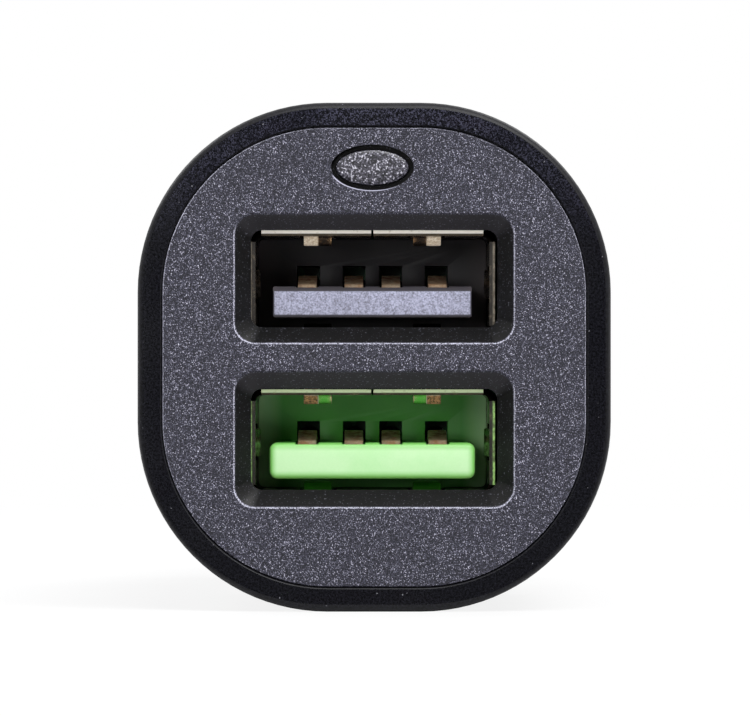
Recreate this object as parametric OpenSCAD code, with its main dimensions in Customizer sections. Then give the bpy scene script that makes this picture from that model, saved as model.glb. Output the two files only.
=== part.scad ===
// Two-port plug-in power adapter for a vehicle's 12 V accessory socket.
// The plug lies on the flat underside of its head, with the ports facing -Y and the centre
// contact pointing +Y. The origin is on the plug's axis, where the collar meets the shoulder.
// Inside the modules Z runs along the plug towards the ports, X to the right and Y up.

/* [Head] */
// Width of the head
head_w = 25.2; // [24.4:0.1:28]
// Height of the head
head_h = 27.1; // [26.6:0.1:30]
// Radius of the head's four long corners
head_corner_r = 10.1; // [8.6:0.1:10.6]
// Length of the head, from the shoulder to the rim
head_len = 30; // [28.5:0.5:36]
// Wall left around the face plate, seen as the glossy rim
rim_wall = 1.28; // [1:0.02:1.6]
// Rounding of the rim's outer edge
rim_edge_r = 0.4; // [0.2:0.05:0.8]
// Wall of the head behind the face plate
head_wall = 1.98; // [1.8:0.02:2.4]
// Rounding of the back of the head down to the collar
shoulder_r = 4; // [3:0.25:4.5]

/* [Barrel] */
// Diameter of the collar that seats in the vehicle's socket
collar_d = 20.9; // [20.7:0.05:21.2]
// Length of the collar
collar_len = 5; // [3:0.5:5.5]
// Diameter of the barrel behind the collar
barrel_d = 20.4; // [20:0.1:20.5]
// Distance from the shoulder to the end of the barrel
barrel_len = 28; // [27.5:0.5:32]
// Wall of the barrel
barrel_wall = 1.8; // [1.4:0.1:2]
// Length of the taper at the end of the barrel
taper_len = 5.5; // [4:0.5:6.5]
// Diameter of the end of the barrel, where the nose cap seats
barrel_end_d = 18; // [17.6:0.1:19]

/* [Face plate] */
// Thickness of the face plate
plate_t = 2; // [1.7:0.1:2.4]
// How far the plate sits behind the rim
plate_recess = 0.15; // [0.05:0.05:0.4]
// Gap between the plate and the rim
seam = 0.08; // [0.04:0.02:0.15]
// Width of the flared recess around a port
funnel_w = 15; // [14.4:0.1:16]
// Height of the upper flared recess
upper_funnel_h = 7; // [6.6:0.05:7.4]
// Height of the lower flared recess
lower_funnel_h = 7.35; // [6.8:0.05:7.6]
// Corner radius of the flared recess
funnel_corner_r = 1.15; // [0.8:0.05:1.6]
// Depth of the flared recess
funnel_depth = 1; // [0.7:0.05:1.1]
// Width of the window at the bottom of the recess
window_w = 13.15; // [12.9:0.05:13.4]
// Height of the upper window
upper_window_h = 5.2; // [5.05:0.05:5.6]
// Height of the lower window
lower_window_h = 5.4; // [5.1:0.05:5.7]
// Corner radius of the window
window_corner_r = 0.6; // [0.3:0.05:1]
// Thickness of the lip around the window
lip_t = 0.3; // [0.2:0.05:0.5]
// Height of the upper window above the centre of its socket
upper_window_rise = 0.27; // [0:0.01:0.3]
// Height of the lower window above the centre of its socket
lower_window_rise = 0.2; // [0:0.01:0.3]

/* [Status light] */
// Distance from the top of the head down to the middle of the status light
light_drop = 3.45; // [3.35:0.05:3.6]
// Width of the oval light pipe at the face
light_w = 3.84; // [3.2:0.04:4.2]
// Height of the oval light pipe at the face
light_h = 1.86; // [1.6:0.02:2]
// Groove around the light pipe
light_groove = 0.29; // [0.15:0.01:0.35]
// Depth of that groove
light_groove_depth = 0.5; // [0.3:0.05:0.8]

/* [Port sockets] */
// Width inside a port's metal shell
shell_in_w = 12.5; // [12.4:0.05:12.6]
// Height inside a port's metal shell
shell_in_h = 5.12; // [5:0.02:5.2]
// Thickness of the shell's sheet
shell_t = 0.3; // [0.2:0.02:0.35]
// Length of the shell, from its mouth to the front board
shell_len = 13.7; // [13.2:0.1:14.5]
// How far the inner edge of the mouth is bevelled
shell_flare = 0.1; // [0.04:0.01:0.14]
// Width of the notch at each corner of the mouth
notch_w = 0.62; // [0.62:0.02:0.8]
// Depth of those notches
notch_len = 2.6; // [1:0.1:3]
// Distance between the centres of the two sockets
port_pitch = 8.5; // [8.3:0.05:9]
// Height of the middle of the two sockets above the plug's axis
ports_y = -0.33; // [-0.4:0.01:0]
// How far the sockets and the light sit to the right of the plug's axis
ports_x = -0.1; // [-0.15:0.05:0.15]
// Depth of a port from its mouth to the insulator's wall
port_depth = 9.2; // [8.9:0.1:10]
// Distance from the mouth to the front of the tongue
tongue_setback = 0.8; // [0.5:0.05:1.2]
// Distance from the shell's centre down to the tongue's centre
tongue_drop = 0.96; // [0.9:0.02:1]
// Width of the upper tongue
upper_tongue_w = 10.65; // [10.5:0.05:11.3]
// Thickness of the upper tongue
upper_tongue_t = 1.66; // [1.5:0.02:2]
// Width of the lower tongue
lower_tongue_w = 11; // [10.5:0.05:11.3]
// Thickness of the lower tongue
lower_tongue_t = 1.92; // [1.5:0.02:2]
// Width of a contact
contact_w = 1; // [0.8:0.05:1.1]
// Thickness of a contact
contact_t = 0.25; // [0.15:0.01:0.3]
// Width of a spring finger in the shell
finger_w = 1.5; // [1.2:0.05:1.8]
// Depth by which a spring finger reaches into the port
finger_depth = 0.5; // [0.3:0.05:0.55]

/* [Circuit boards] */
// Thickness of both circuit boards
board_t = 1.2; // [0.8:0.1:1.6]
// Gap between the front board and the wall of the head
board_gap = 0.3; // [0.15:0.05:0.5]
// Distance from the shoulder to the end of the main board
board_rear = 15.5; // [14.5:0.25:16]

/* [Side contacts] */
// Width of a side contact
leaf_w = 5; // [4:0.1:6]
// Thickness of a side contact
leaf_t = 0.35; // [0.25:0.05:0.5]
// How far a side contact bulges out of the barrel
leaf_bulge = 1.3; // [0.8:0.05:1.4]
// Distance from the shoulder to the front of a side contact
leaf_start = 6; // [5.8:0.1:7]
// Gap between a side contact and the thread for the nose cap
leaf_end_gap = 0.8; // [0.6:0.1:2]

/* [Centre contact] */
// Diameter of the centre contact's shank
tip_d = 7; // [6:0.1:8]
// How far the centre contact stands out of the nose cap
tip_out = 3; // [2.7:0.1:4]
// Travel of the centre contact
tip_travel = 2.5; // [1.5:0.1:2.6]
// Diameter of the centre contact's head inside the cap
tip_head_d = 9.4; // [8.8:0.1:9.6]
// Thickness of that head
tip_head_t = 1.8; // [1.2:0.1:2.4]
// Diameter of the spring's wire
spring_wire_d = 0.6; // [0.4:0.05:0.8]
// Outer diameter of the spring
spring_d = 5.4; // [4.6:0.1:5.6]
// Length of the nose cap outside the barrel
cap_len = 5.5; // [4.5:0.1:7]
// Thickness of the nose cap's end wall
cap_end_t = 2; // [1.5:0.1:2.5]
// Length of the nose cap's stem inside the barrel
cap_stem_len = 5.5; // [4:0.1:6]

/* [Hidden] */

$fn = 64;

// How far the forms that make up one moulding run into each other
root = 1.5;

// How far a cutter runs past what it cuts
over = 1;

// Stations along the plug, measured from the shoulder towards the ports
plate_front_z = head_len - plate_recess;
plate_back_z = plate_front_z - plate_t;
mouth_z = plate_front_z - funnel_depth - lip_t;
board_front_z = mouth_z - shell_len;
board_back_z = board_front_z - board_t;
barrel_end_z = -barrel_len;
cap_end_z = barrel_end_z - cap_len;
cap_seat_z = cap_end_z + cap_end_t;

// The face plate and what lies around it
plate_w = head_w - 2 * (rim_wall + seam);
plate_h = head_h - 2 * (rim_wall + seam);
plate_corner_r = head_corner_r - rim_wall - seam;
cavity_w = head_w - 2 * head_wall;
cavity_h = head_h - 2 * head_wall;
cavity_corner_r = head_corner_r - head_wall;
light_y = head_h / 2 - light_drop;
light_clearance = 0.05;
light_recess = 0.05;
light_flange_t = 0.6;
light_flange_w = 0.4;
light_stem_inset = 0.3;
light_to_lamp = 0.25;
lamp_w = 3.2;
lamp_d = 1.6;
lamp_h = 1.1;
lamp_dome_w = 2.2;
rib_t = 1;
rib_depth = 3;
rib_span = 9;
rib_clearance = 0.1;

// The shoulder's rounding is centred on a ring around the axis that just clears the long corners
corner_reach = norm([head_w / 2 - head_corner_r, head_h / 2 - head_corner_r]) + head_corner_r;
corner_margin = 0.2;
shoulder_ring_r = corner_reach + corner_margin - shoulder_r;
shoulder_z = shoulder_r;

// The barrel
collar_r = collar_d / 2;
barrel_r = barrel_d / 2;
barrel_bore_r = barrel_r - barrel_wall;
barrel_end_r = barrel_end_d / 2;
thread_wall = 1.6;
thread_gap = 0.1;
thread_r = barrel_end_r - thread_wall;
thread_len = cap_stem_len + 0.5;
edge_break = 0.3;

// The port sockets
shell_w = shell_in_w + 2 * shell_t;
shell_h = shell_in_h + 2 * shell_t;
shell_corner_r = 0.6;
flare_len = 0.4;
shell_seam = 0.12;
pocket_gap = 0.1;
pocket_w = shell_w + 2 * pocket_gap;
pocket_h = shell_h + 2 * pocket_gap;
upper_shell_y = ports_y + port_pitch / 2;
lower_shell_y = ports_y - port_pitch / 2;
upper_window_y = upper_shell_y + upper_window_rise;
lower_window_y = lower_shell_y + lower_window_rise;
finger_x = 2.93;
finger_start = 1.2;
finger_len = 5.4;
finger_gap = 0.25;
bottom_finger_depth = 0.9 * finger_depth;
side_finger_depth = 0.5 * finger_depth;
leg_w = 1.4;
leg_len = board_t + 0.8;
leg_y = 1.3;
leg_hole_gap = 0.15;
insulator_gap = 0.03;
contact_x = [-3.5, -1, 1, 3.5];
contact_slot_w = contact_w + 0.25;
contact_slot_top = 1.08;
groove_depth = 0.12;
contact_rise = 0.5;
contact_end = 1.15;
contact_tuck = 0.4;
contact_pocket_len = 1.1;
contact_tail = board_t + 0.9;
tail_hole_r = 0.75;

// The circuit boards
board_w = cavity_w - 2 * board_gap;
board_h = cavity_h - 2 * board_gap;
board_corner_r = cavity_corner_r - board_gap;
tab_w = 3;
tab_x = 4.6;
tab_out = 0.3;
tab_gap = 0.1;
stop_w = 2.4;
stop_t = 0.9;
stop_offset = 4;

// The side contacts pivot where their front foot is held against the wall of the barrel
leaf_gap = 0.15;
leaf_len = barrel_len - thread_len - leaf_start - leaf_end_gap;
leaf_seat_x = sqrt(pow(barrel_bore_r, 2) - pow(leaf_w / 2, 2)) - leaf_gap - leaf_t;
leaf_rise = barrel_r + leaf_bulge - leaf_seat_x - leaf_t;
leaf_foot = 1.6;
leaf_steps = 20;
solder_tab_len = 1.4;
solder_tab_reach = 1.2;
solder_tab_gap = 0.03;
slot_side_gap = 0.25;
slot_end_gap = 0.2;
slot_front_z = -(leaf_start + leaf_foot - slot_end_gap);
slot_rear_z = -(leaf_start + leaf_len - leaf_foot + slot_end_gap);
leaf_to_board = 0.6;
narrow_board_w = 2 * (leaf_seat_x - leaf_to_board);
wide_board_w = board_w - 1.6;
neck_z = shoulder_z - 0.5;
guide_t = 0.9;
guide_reach = 1.2;
guide_gap = 0.05;
guide_rear_z = -leaf_start + 0.6;
guide_front_z = shoulder_z - 1.5;

// The nose cap, the centre contact and its spring
tip_r = tip_d / 2;
tip_clearance = 0.1;
tip_end_r = 1.6;
cap_stem_r = thread_r - thread_gap;
cap_bore_r = tip_head_d / 2 + 0.2;
cap_nose_r = tip_r + 2.1;
cap_grip_len = 2.6;
grip_notches = 24;
grip_notch_r = 0.35;
spring_r = spring_d / 2;
spring_fit = 0.1;
spring_end_gap = 0.04;
tip_wall = 1;
tip_bore_depth = tip_head_t + cap_end_t + tip_out - tip_wall;
cup_wall = 0.4;
cup_floor = 0.6;
cup_depth = 1.2;
cup_r = spring_r + spring_fit + cup_wall;
cup_floor_z = -board_rear - cup_floor;
tip_back_z = cap_seat_z + tip_head_t;
spring_low_z = tip_back_z - tip_bore_depth + spring_end_gap;
spring_high_z = cup_floor_z - spring_end_gap;
spring_turns = 10;
spring_steps = 12;
spring_sides = 6;

// Components on the main board, each size as width, height above the board and length
component_gap = 0.3;
inductor_size = [7.6, 4.6, 7.2];
inductor_terminal = 0.4;
inductor_cut = 1;
inductor_z = board_back_z - (contact_tail - board_t) - component_gap - inductor_size[2] / 2;
output_can_d = 5;
output_can_h = 5.4;
output_can_x = 2.9;
output_can_z = inductor_z - inductor_size[2] / 2 - component_gap - output_can_d / 2;
input_can_d = 6.3;
input_can_len = 8.6;
input_can_z = -7.4;
chip_size = [3.9, 1.5, 4.9];
chip_x = -2.6;
chip_z = inductor_z - inductor_size[2] / 2 - component_gap - chip_size[2] / 2;
chip_leads = 4;
chip_pitch = 1.27;
diode_size = [2.6, 2.1, 4.3];
diode_x = 4.9;
diode_z = -10.6;
controller_size = [1.6, 1.1, 2.9];
controller_x = -3.6;
controller_z = -5.6;
controller_leads = 3;
controller_pitch = 0.95;
fuse_size = [1.6, 1.1, 3.2];
fuse_x = 3.4;
fuse_z = -13;
ceramic_size = [0.8, 0.8, 1.6];
ceramic_places = [[-1.6, -9], [-1.6, -11], [-1.6, -13], [-1.2, -4.4], [1.2, -4.4]];
resistor_size = [0.8, 0.5, 1.6];
resistor_places = [[3.4, -6.6], [3.4, -8.6], [1, -8], [1, -10.4]];

// Rounded rectangle centred on the axis
module rounded_rect(w, h, r) {
    square([w - 2 * r, h], center = true);
    square([w, h - 2 * r], center = true);
    for (sx = [-1, 1], sy = [-1, 1])
        translate([sx * (w / 2 - r), sy * (h / 2 - r)])
            circle(r);
}

// Ellipse as a many-sided outline
module oval(w, h) {
    polygon([for (a = [0:7.5:359]) [w / 2 * cos(a), h / 2 * sin(a)]]);
}

// A profile carried around a rounded rectangle: quarter turns at the corners, straight runs
// between them and a block in the middle. The profile's x runs from the corner's centre outwards.
module around_rounded_rect(w, h, r, block_len) {
    inner_w = w - 2 * r;
    inner_h = h - 2 * r;
    for (turn = [0:3])
        rotate([0, 0, 90 * turn]) {
            across = turn % 2 == 0 ? inner_w : inner_h;
            along = turn % 2 == 0 ? inner_h : inner_w;
            translate([across / 2, along / 2, 0])
                rotate_extrude(angle = 90) children();
            translate([across / 2, along / 2, 0])
                rotate([90, 0, 0])
                    linear_extrude(along) children();
        }
    translate([-inner_w / 2, -inner_h / 2, 0])
        cube([inner_w, inner_h, block_len]);
}

// Half section of a prism with one rounded outer edge at its top
module edge_rounded_profile(r, len, edge_r) {
    square([r, len - edge_r]);
    square([r - edge_r, len]);
    translate([r - edge_r, len - edge_r])
        circle(edge_r);
}

// Solid of revolution that rounds the back of the head, offset inwards for its cavity
module shoulder_form(inset) {
    rotate_extrude() {
        difference() {
            union() {
                translate([0, shoulder_z])
                    square([shoulder_ring_r + shoulder_r - inset, head_len]);
                translate([0, inset])
                    square([shoulder_ring_r, head_len]);
                translate([shoulder_ring_r, shoulder_z])
                    circle(shoulder_r - inset);
            }
            translate([-2 * head_w, -head_len])
                square([2 * head_w, 3 * head_len]);
        }
    }
}

module head_form() {
    intersection() {
        around_rounded_rect(head_w, head_h, head_corner_r, head_len)
            edge_rounded_profile(head_corner_r, head_len, rim_edge_r);
        shoulder_form(0);
    }
}

// Outside of the collar, the barrel and its tapered end
module barrel_form() {
    rotate_extrude()
        polygon([
            [0, root],
            [collar_r, root],
            [collar_r, -collar_len + edge_break],
            [barrel_r, -collar_len],
            [barrel_r, barrel_end_z + taper_len],
            [barrel_end_r, barrel_end_z + edge_break],
            [barrel_end_r - edge_break, barrel_end_z],
            [0, barrel_end_z]
        ]);
}

// Hollow of the head behind the face plate, with the plate's own pocket in front of it
module head_hollow() {
    intersection() {
        linear_extrude(head_len)
            rounded_rect(cavity_w, cavity_h, cavity_corner_r);
        shoulder_form(head_wall);
    }
    translate([0, 0, plate_back_z])
        linear_extrude(head_len)
            rounded_rect(head_w - 2 * rim_wall, head_h - 2 * rim_wall, head_corner_r - rim_wall);
}

// Bore of the barrel, and the narrower thread at its end
module barrel_hollow() {
    translate([0, 0, barrel_end_z + thread_len])
        cylinder(r = barrel_bore_r, h = barrel_len - thread_len + shoulder_z);
    translate([0, 0, barrel_end_z - over])
        cylinder(r = thread_r, h = thread_len + 2 * over);
}

module side_slot(side) {
    slot_h = leaf_w + 2 * slot_side_gap;
    translate([side > 0 ? leaf_seat_x - over : -barrel_d, -slot_h / 2, slot_rear_z])
        cube([barrel_d - leaf_seat_x + over, slot_h, slot_front_z - slot_rear_z]);
}

// Rails on both sides of the barrel that hold the edges of the main board
module board_guides() {
    guide_x = narrow_board_w / 2 - guide_reach;
    guide_len = guide_front_z - guide_rear_z;
    intersection() {
        translate([0, 0, guide_rear_z])
            cylinder(r = barrel_bore_r + barrel_wall / 3, h = guide_len);
        for (side = [-1, 1], face = [-1, 1])
            translate([
                side > 0 ? guide_x : -barrel_r,
                face > 0 ? board_t / 2 + guide_gap : -board_t / 2 - guide_gap - guide_t,
                guide_rear_z
            ])
                cube([barrel_r - guide_x, guide_t, guide_len]);
    }
}

// Four stops on the wall of the head that carry the front board from behind
module board_stops() {
    stop_len = board_back_z - shoulder_z;
    intersection() {
        for (side = [-1, 1]) {
            translate([side * cavity_w / 2 - stop_t, side * stop_offset - stop_w / 2, shoulder_z])
                cube([2 * stop_t, stop_w, stop_len]);
            translate([side * stop_offset - stop_w / 2, side * cavity_h / 2 - stop_t, shoulder_z])
                cube([stop_w, 2 * stop_t, stop_len]);
        }
        linear_extrude(head_len)
            rounded_rect(head_w - 2 * rim_wall, head_h - 2 * rim_wall, head_corner_r - rim_wall);
    }
}

// Body moulding: head, shoulder, collar and barrel in one piece
module housing() {
    color("#141417")
    plug_frame() {
        difference() {
            union() {
                head_form();
                barrel_form();
            }
            head_hollow();
            barrel_hollow();
            side_slot(-1);
            side_slot(1);
        }
        board_guides();
        board_stops();
    }
}

// Flared recess with its window, cut from the front of the face plate
module port_funnel(funnel_h, window_h) {
    thin = 0.01;
    hull() {
        translate([0, 0, -thin])
            linear_extrude(2 * thin)
                rounded_rect(funnel_w, funnel_h, funnel_corner_r, $fn = 32);
        translate([0, 0, -funnel_depth])
            linear_extrude(thin)
                rounded_rect(window_w, window_h, window_corner_r, $fn = 32);
    }
    translate([0, 0, -plate_t - over])
        linear_extrude(plate_t + over)
            rounded_rect(window_w, window_h, window_corner_r, $fn = 32);
}

module face_plate() {
    rib_x = cavity_w / 2 - rib_clearance - rib_t;
    color("#51515e")
    plug_frame() {
        difference() {
            translate([0, 0, plate_back_z])
                linear_extrude(plate_t)
                    rounded_rect(plate_w, plate_h, plate_corner_r);
            translate([0, upper_window_y, plate_front_z])
                port_funnel(upper_funnel_h, upper_window_h);
            translate([0, lower_window_y, plate_front_z])
                port_funnel(lower_funnel_h, lower_window_h);
            for (shell_y = [upper_shell_y, lower_shell_y])
                translate([ports_x - pocket_w / 2, shell_y - pocket_h / 2, plate_back_z - over])
                    cube([pocket_w, pocket_h, mouth_z - plate_back_z + over]);
            translate([ports_x, light_y, plate_front_z - light_groove_depth])
                linear_extrude(plate_t)
                    oval(light_w + 2 * light_groove, light_h + 2 * light_groove);
            translate([ports_x, light_y, plate_back_z - over])
                linear_extrude(plate_t + 2 * over)
                    oval(light_w + 2 * light_clearance, light_h + 2 * light_clearance);
        }
        for (side = [-1, 1])
            translate([side > 0 ? rib_x : -rib_x - rib_t, -rib_span / 2, plate_back_z - rib_depth])
                cube([rib_t, rib_span, rib_depth]);
    }
}

// Oval light pipe, with a flange behind the plate and a stem that ends over the lamp
module light_pipe() {
    flange_z = plate_back_z - light_flange_t;
    stem_end_z = board_front_z + lamp_h + light_to_lamp;
    color("#5d5c6a")
    plug_frame()
        translate([ports_x, light_y, 0]) {
            translate([0, 0, flange_z])
                linear_extrude(plate_front_z - light_recess - flange_z)
                    oval(light_w, light_h);
            translate([0, 0, flange_z])
                linear_extrude(light_flange_t)
                    oval(light_w + 2 * light_flange_w, light_h);
            translate([0, 0, stem_end_z])
                linear_extrude(flange_z - stem_end_z + light_flange_t)
                    oval(light_w - 2 * light_stem_inset, light_h - 2 * light_stem_inset);
        }
}

// Surface-mount lamp: a base with its lens block on top
module status_led() {
    color("#e8e4c8")
    plug_frame()
        translate([ports_x, light_y, board_front_z]) {
            translate([-lamp_w / 2, -lamp_d / 2, 0])
                cube([lamp_w, lamp_d, lamp_h / 2]);
            translate([-lamp_dome_w / 2, -lamp_d / 2, 0])
                cube([lamp_dome_w, lamp_d, lamp_h]);
        }
}

// One lip of the shell's mouth, bevelled on its inner edge
module shell_lip(span, wall) {
    rotate([90, 0, 90])
        translate([0, 0, -span / 2])
            linear_extrude(span)
                polygon([
                    [wall, -flare_len],
                    [wall + shell_t, -flare_len],
                    [wall + shell_t, 0],
                    [wall + shell_flare, 0]
                ]);
}

// Spring finger pressed out of a shell wall, with its root at the rear
module shell_finger(wall, depth) {
    steps = 12;
    thick = shell_t * 0.8;
    dip = function (s) depth * pow(sin(180 * s), 2) * (1 - 0.25 * s);
    line = [for (i = [0:steps]) [wall - dip(i / steps), -finger_start - finger_len * i / steps]];
    rotate([90, 0, 90])
        translate([0, 0, -finger_w / 2])
            linear_extrude(finger_w)
                polygon(concat(line, [for (i = [steps:-1:0]) line[i] + [thick, 0]]));
}

module finger_cut(wall) {
    translate([-finger_w / 2 - finger_gap, wall - over / 2, -finger_start - finger_len])
        cube([finger_w + 2 * finger_gap, shell_t + over, finger_len + finger_gap]);
}

// Folded sheet shell, drawn from its mouth backwards
module port_shell() {
    half_w = shell_in_w / 2;
    half_h = shell_in_h / 2;
    difference() {
        translate([0, 0, -shell_len])
            linear_extrude(shell_len - flare_len)
                difference() {
                    rounded_rect(shell_w, shell_h, shell_corner_r);
                    rounded_rect(shell_in_w, shell_in_h, shell_corner_r - shell_t);
                }
        translate([-shell_seam / 2, half_h - over / 2, -shell_len - over])
            cube([shell_seam, shell_t + over, shell_len + 2 * over]);
        for (x = [-1, 1], y = [-1, 1])
            translate([x * shell_w / 2 - notch_w, y * shell_h / 2 - notch_w, -notch_len])
                cube([2 * notch_w, 2 * notch_w, notch_len + over]);
        for (x = [-finger_x, finger_x], face = [0, 180])
            rotate([0, 0, face]) translate([x, 0, 0]) finger_cut(half_h);
        for (side = [90, -90])
            rotate([0, 0, side]) finger_cut(half_w);
    }
    for (x = [-finger_x, finger_x]) {
        translate([x, 0, 0]) shell_finger(half_h, finger_depth);
        rotate([0, 0, 180]) translate([x, 0, 0]) shell_finger(half_h, bottom_finger_depth);
    }
    for (side = [90, -90])
        rotate([0, 0, side]) shell_finger(half_w, side_finger_depth);
    difference() {
        union() {
            for (face = [0, 180])
                rotate([0, 0, face]) shell_lip(shell_w - 2 * notch_w, half_h);
            for (side = [90, -90])
                rotate([0, 0, side]) shell_lip(shell_h - 2 * notch_w, half_w);
        }
        translate([-shell_seam / 2, half_h - over / 2, -flare_len - over])
            cube([shell_seam, shell_t + over, flare_len + 2 * over]);
    }
    for (side = [-1, 1], y = [-leg_y, leg_y])
        translate([side > 0 ? half_w : -half_w - shell_t, y - leg_w / 2, -shell_len - leg_len])
            cube([shell_t, leg_w, leg_len + 0.5]);
}

module placed_port(shell_y) {
    plug_frame() translate([ports_x, shell_y, mouth_z]) children();
}

module upper_port_shell() {
    color("#cfcac0") placed_port(upper_shell_y) port_shell();
}

module lower_port_shell() {
    color("#cfcac0") placed_port(lower_shell_y) port_shell();
}

function tongue_top(tongue_t) = -tongue_drop + tongue_t / 2;
function groove_floor(tongue_t) = tongue_top(tongue_t) - groove_depth;

// Moulded insulator: the block that closes the back of the shell, and the tongue in front of it
module port_tongue(tongue_w, tongue_t, front_bevel, edge_r) {
    block_back = -shell_len + 0.2;
    tongue_front = -tongue_setback;
    tongue_root = -port_depth - 0.5;
    low = -tongue_drop - tongue_t / 2;
    high = tongue_top(tongue_t);
    half = tongue_w / 2;
    pocket_floor = groove_floor(tongue_t) - contact_tuck - 0.05;
    difference() {
        union() {
            translate([0, 0, block_back])
                linear_extrude(-port_depth - block_back)
                    rounded_rect(
                        shell_in_w - 2 * insulator_gap,
                        shell_in_h - 2 * insulator_gap,
                        shell_corner_r - shell_t
                    );
            intersection() {
                rotate([90, 0, 90])
                    translate([0, 0, -half])
                        linear_extrude(tongue_w)
                            polygon([
                                [low, tongue_root],
                                [high, tongue_root],
                                [high, tongue_front - front_bevel],
                                [high - front_bevel, tongue_front],
                                [low + front_bevel / 3, tongue_front],
                                [low, tongue_front - front_bevel / 3]
                            ]);
                translate([0, -tongue_drop, tongue_root])
                    linear_extrude(port_depth)
                        rounded_rect(tongue_w, tongue_t, edge_r);
            }
        }
        for (x = contact_x) {
            translate([x - contact_slot_w / 2, groove_floor(tongue_t), -shell_len])
                cube([contact_slot_w, contact_slot_top - groove_floor(tongue_t), shell_len - contact_end]);
            translate([x - contact_slot_w / 2, pocket_floor, -contact_end - contact_pocket_len])
                cube([contact_slot_w, high - pocket_floor, contact_pocket_len]);
        }
    }
}

module upper_port_tongue() {
    color("#8f8fa0") placed_port(upper_shell_y)
        port_tongue(upper_tongue_w, upper_tongue_t, 0.3, 0.08);
}

module lower_port_tongue() {
    color("#5fd04a") placed_port(lower_shell_y)
        port_tongue(lower_tongue_w, lower_tongue_t, 0.25, 0.4);
}

// Contact strip: a straight tail through the insulator and board, and an arched spring on the tongue
// whose front end is tucked into a pocket
module port_contact(tongue_t) {
    steps = 14;
    floor_y = groove_floor(tongue_t);
    arch_back = -port_depth + 0.3;
    arch_front = -contact_end - 0.8;
    tail_z = -shell_len - contact_tail;
    arch = [for (i = [0:steps])
        [
            floor_y + contact_rise * pow(sin(180 * i / steps), 2),
            arch_back + (arch_front - arch_back) * i / steps
        ]];
    tuck = [
        [floor_y - contact_tuck, -contact_end - 0.45],
        [floor_y - contact_tuck, -contact_end - 0.15]
    ];
    line = concat([[floor_y, tail_z]], arch, tuck);
    rotate([90, 0, 90])
        translate([0, 0, -contact_w / 2])
            linear_extrude(contact_w)
                polygon(concat(line, [for (i = [len(line) - 1:-1:0]) line[i] + [contact_t, 0]]));
}

module placed_contact(shell_y, tongue_t, index) {
    color("#b08d57")
    placed_port(shell_y) translate([contact_x[index], 0, 0]) port_contact(tongue_t);
}

module front_board() {
    color("#1f5a36")
    plug_frame()
        translate([0, 0, board_back_z])
            difference() {
                linear_extrude(board_t)
                    rounded_rect(board_w, board_h, board_corner_r);
                for (shell_y = [upper_shell_y, lower_shell_y], side = [-1, 1], y = [-leg_y, leg_y])
                    translate([
                        ports_x + side * (shell_in_w + shell_t) / 2 - shell_t / 2 - leg_hole_gap,
                        shell_y + y - leg_w / 2 - leg_hole_gap,
                        -over
                    ])
                        cube([shell_t + 2 * leg_hole_gap, leg_w + 2 * leg_hole_gap, board_t + 2 * over]);
                for (x = contact_x)
                    tail_holes(x);
                for (side = [-1, 1])
                    translate([side * tab_x - tab_w / 2 - tab_gap, -board_t / 2 - tab_gap, -over])
                        cube([tab_w + 2 * tab_gap, board_t + 2 * tab_gap, board_t + 2 * over]);
            }
}

module tail_holes(x) {
    for (port = [[upper_shell_y, upper_tongue_t], [lower_shell_y, lower_tongue_t]])
        translate([ports_x + x, port[0] + groove_floor(port[1]) + contact_t / 2, -over])
            cylinder(r = tail_hole_r, h = board_t + 2 * over, $fn = 24);
}

// Main board: wide in the head, narrow in the barrel, with two tabs through the front board
module main_board() {
    corner_cut = 2;
    color("#1f5a36")
    plug_frame()
        rotate([90, 0, 0])
            translate([0, 0, -board_t / 2])
                linear_extrude(board_t)
                    difference() {
                        union() {
                            translate([-wide_board_w / 2, neck_z])
                                square([wide_board_w, board_back_z - neck_z]);
                            translate([-narrow_board_w / 2, -board_rear])
                                square([narrow_board_w, neck_z + board_rear + root]);
                            for (side = [-1, 1])
                                translate([side * tab_x - tab_w / 2, board_back_z - root])
                                    square([tab_w, board_t + tab_out + root]);
                        }
                        for (side = [-1, 1])
                            translate([side * narrow_board_w / 2, -board_rear])
                                rotate(45) square(corner_cut, center = true);
                    }
}

// Side contact: a bowed strip with a tab folded inwards at its front foot, which is soldered to the
// main board. The rear foot slides along the wall of the barrel.
module side_contact(side) {
    bow = [for (i = [0:leaf_steps])
        let (s = i / leaf_steps)
        [
            leaf_seat_x + leaf_rise * pow(sin(180 * s), 2),
            -leaf_start - leaf_foot - (leaf_len - 2 * leaf_foot) * s
        ]];
    inner = concat([[leaf_seat_x, -leaf_start]], bow, [[leaf_seat_x, -leaf_start - leaf_len]]);
    tab_x0 = narrow_board_w / 2 - solder_tab_reach;
    color("#d8d6d2")
    plug_frame()
        mirror([side > 0 ? 0 : 1, 0, 0]) {
            rotate([90, 0, 0])
                translate([0, 0, -leaf_w / 2])
                    linear_extrude(leaf_w)
                        polygon(concat(inner, [for (i = [len(inner) - 1:-1:0]) inner[i] + [leaf_t, 0]]));
            translate([tab_x0, board_t / 2 + solder_tab_gap, -leaf_start - solder_tab_len])
                cube([leaf_seat_x + leaf_t / 2 - tab_x0, leaf_t, solder_tab_len]);
        }
}

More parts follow.
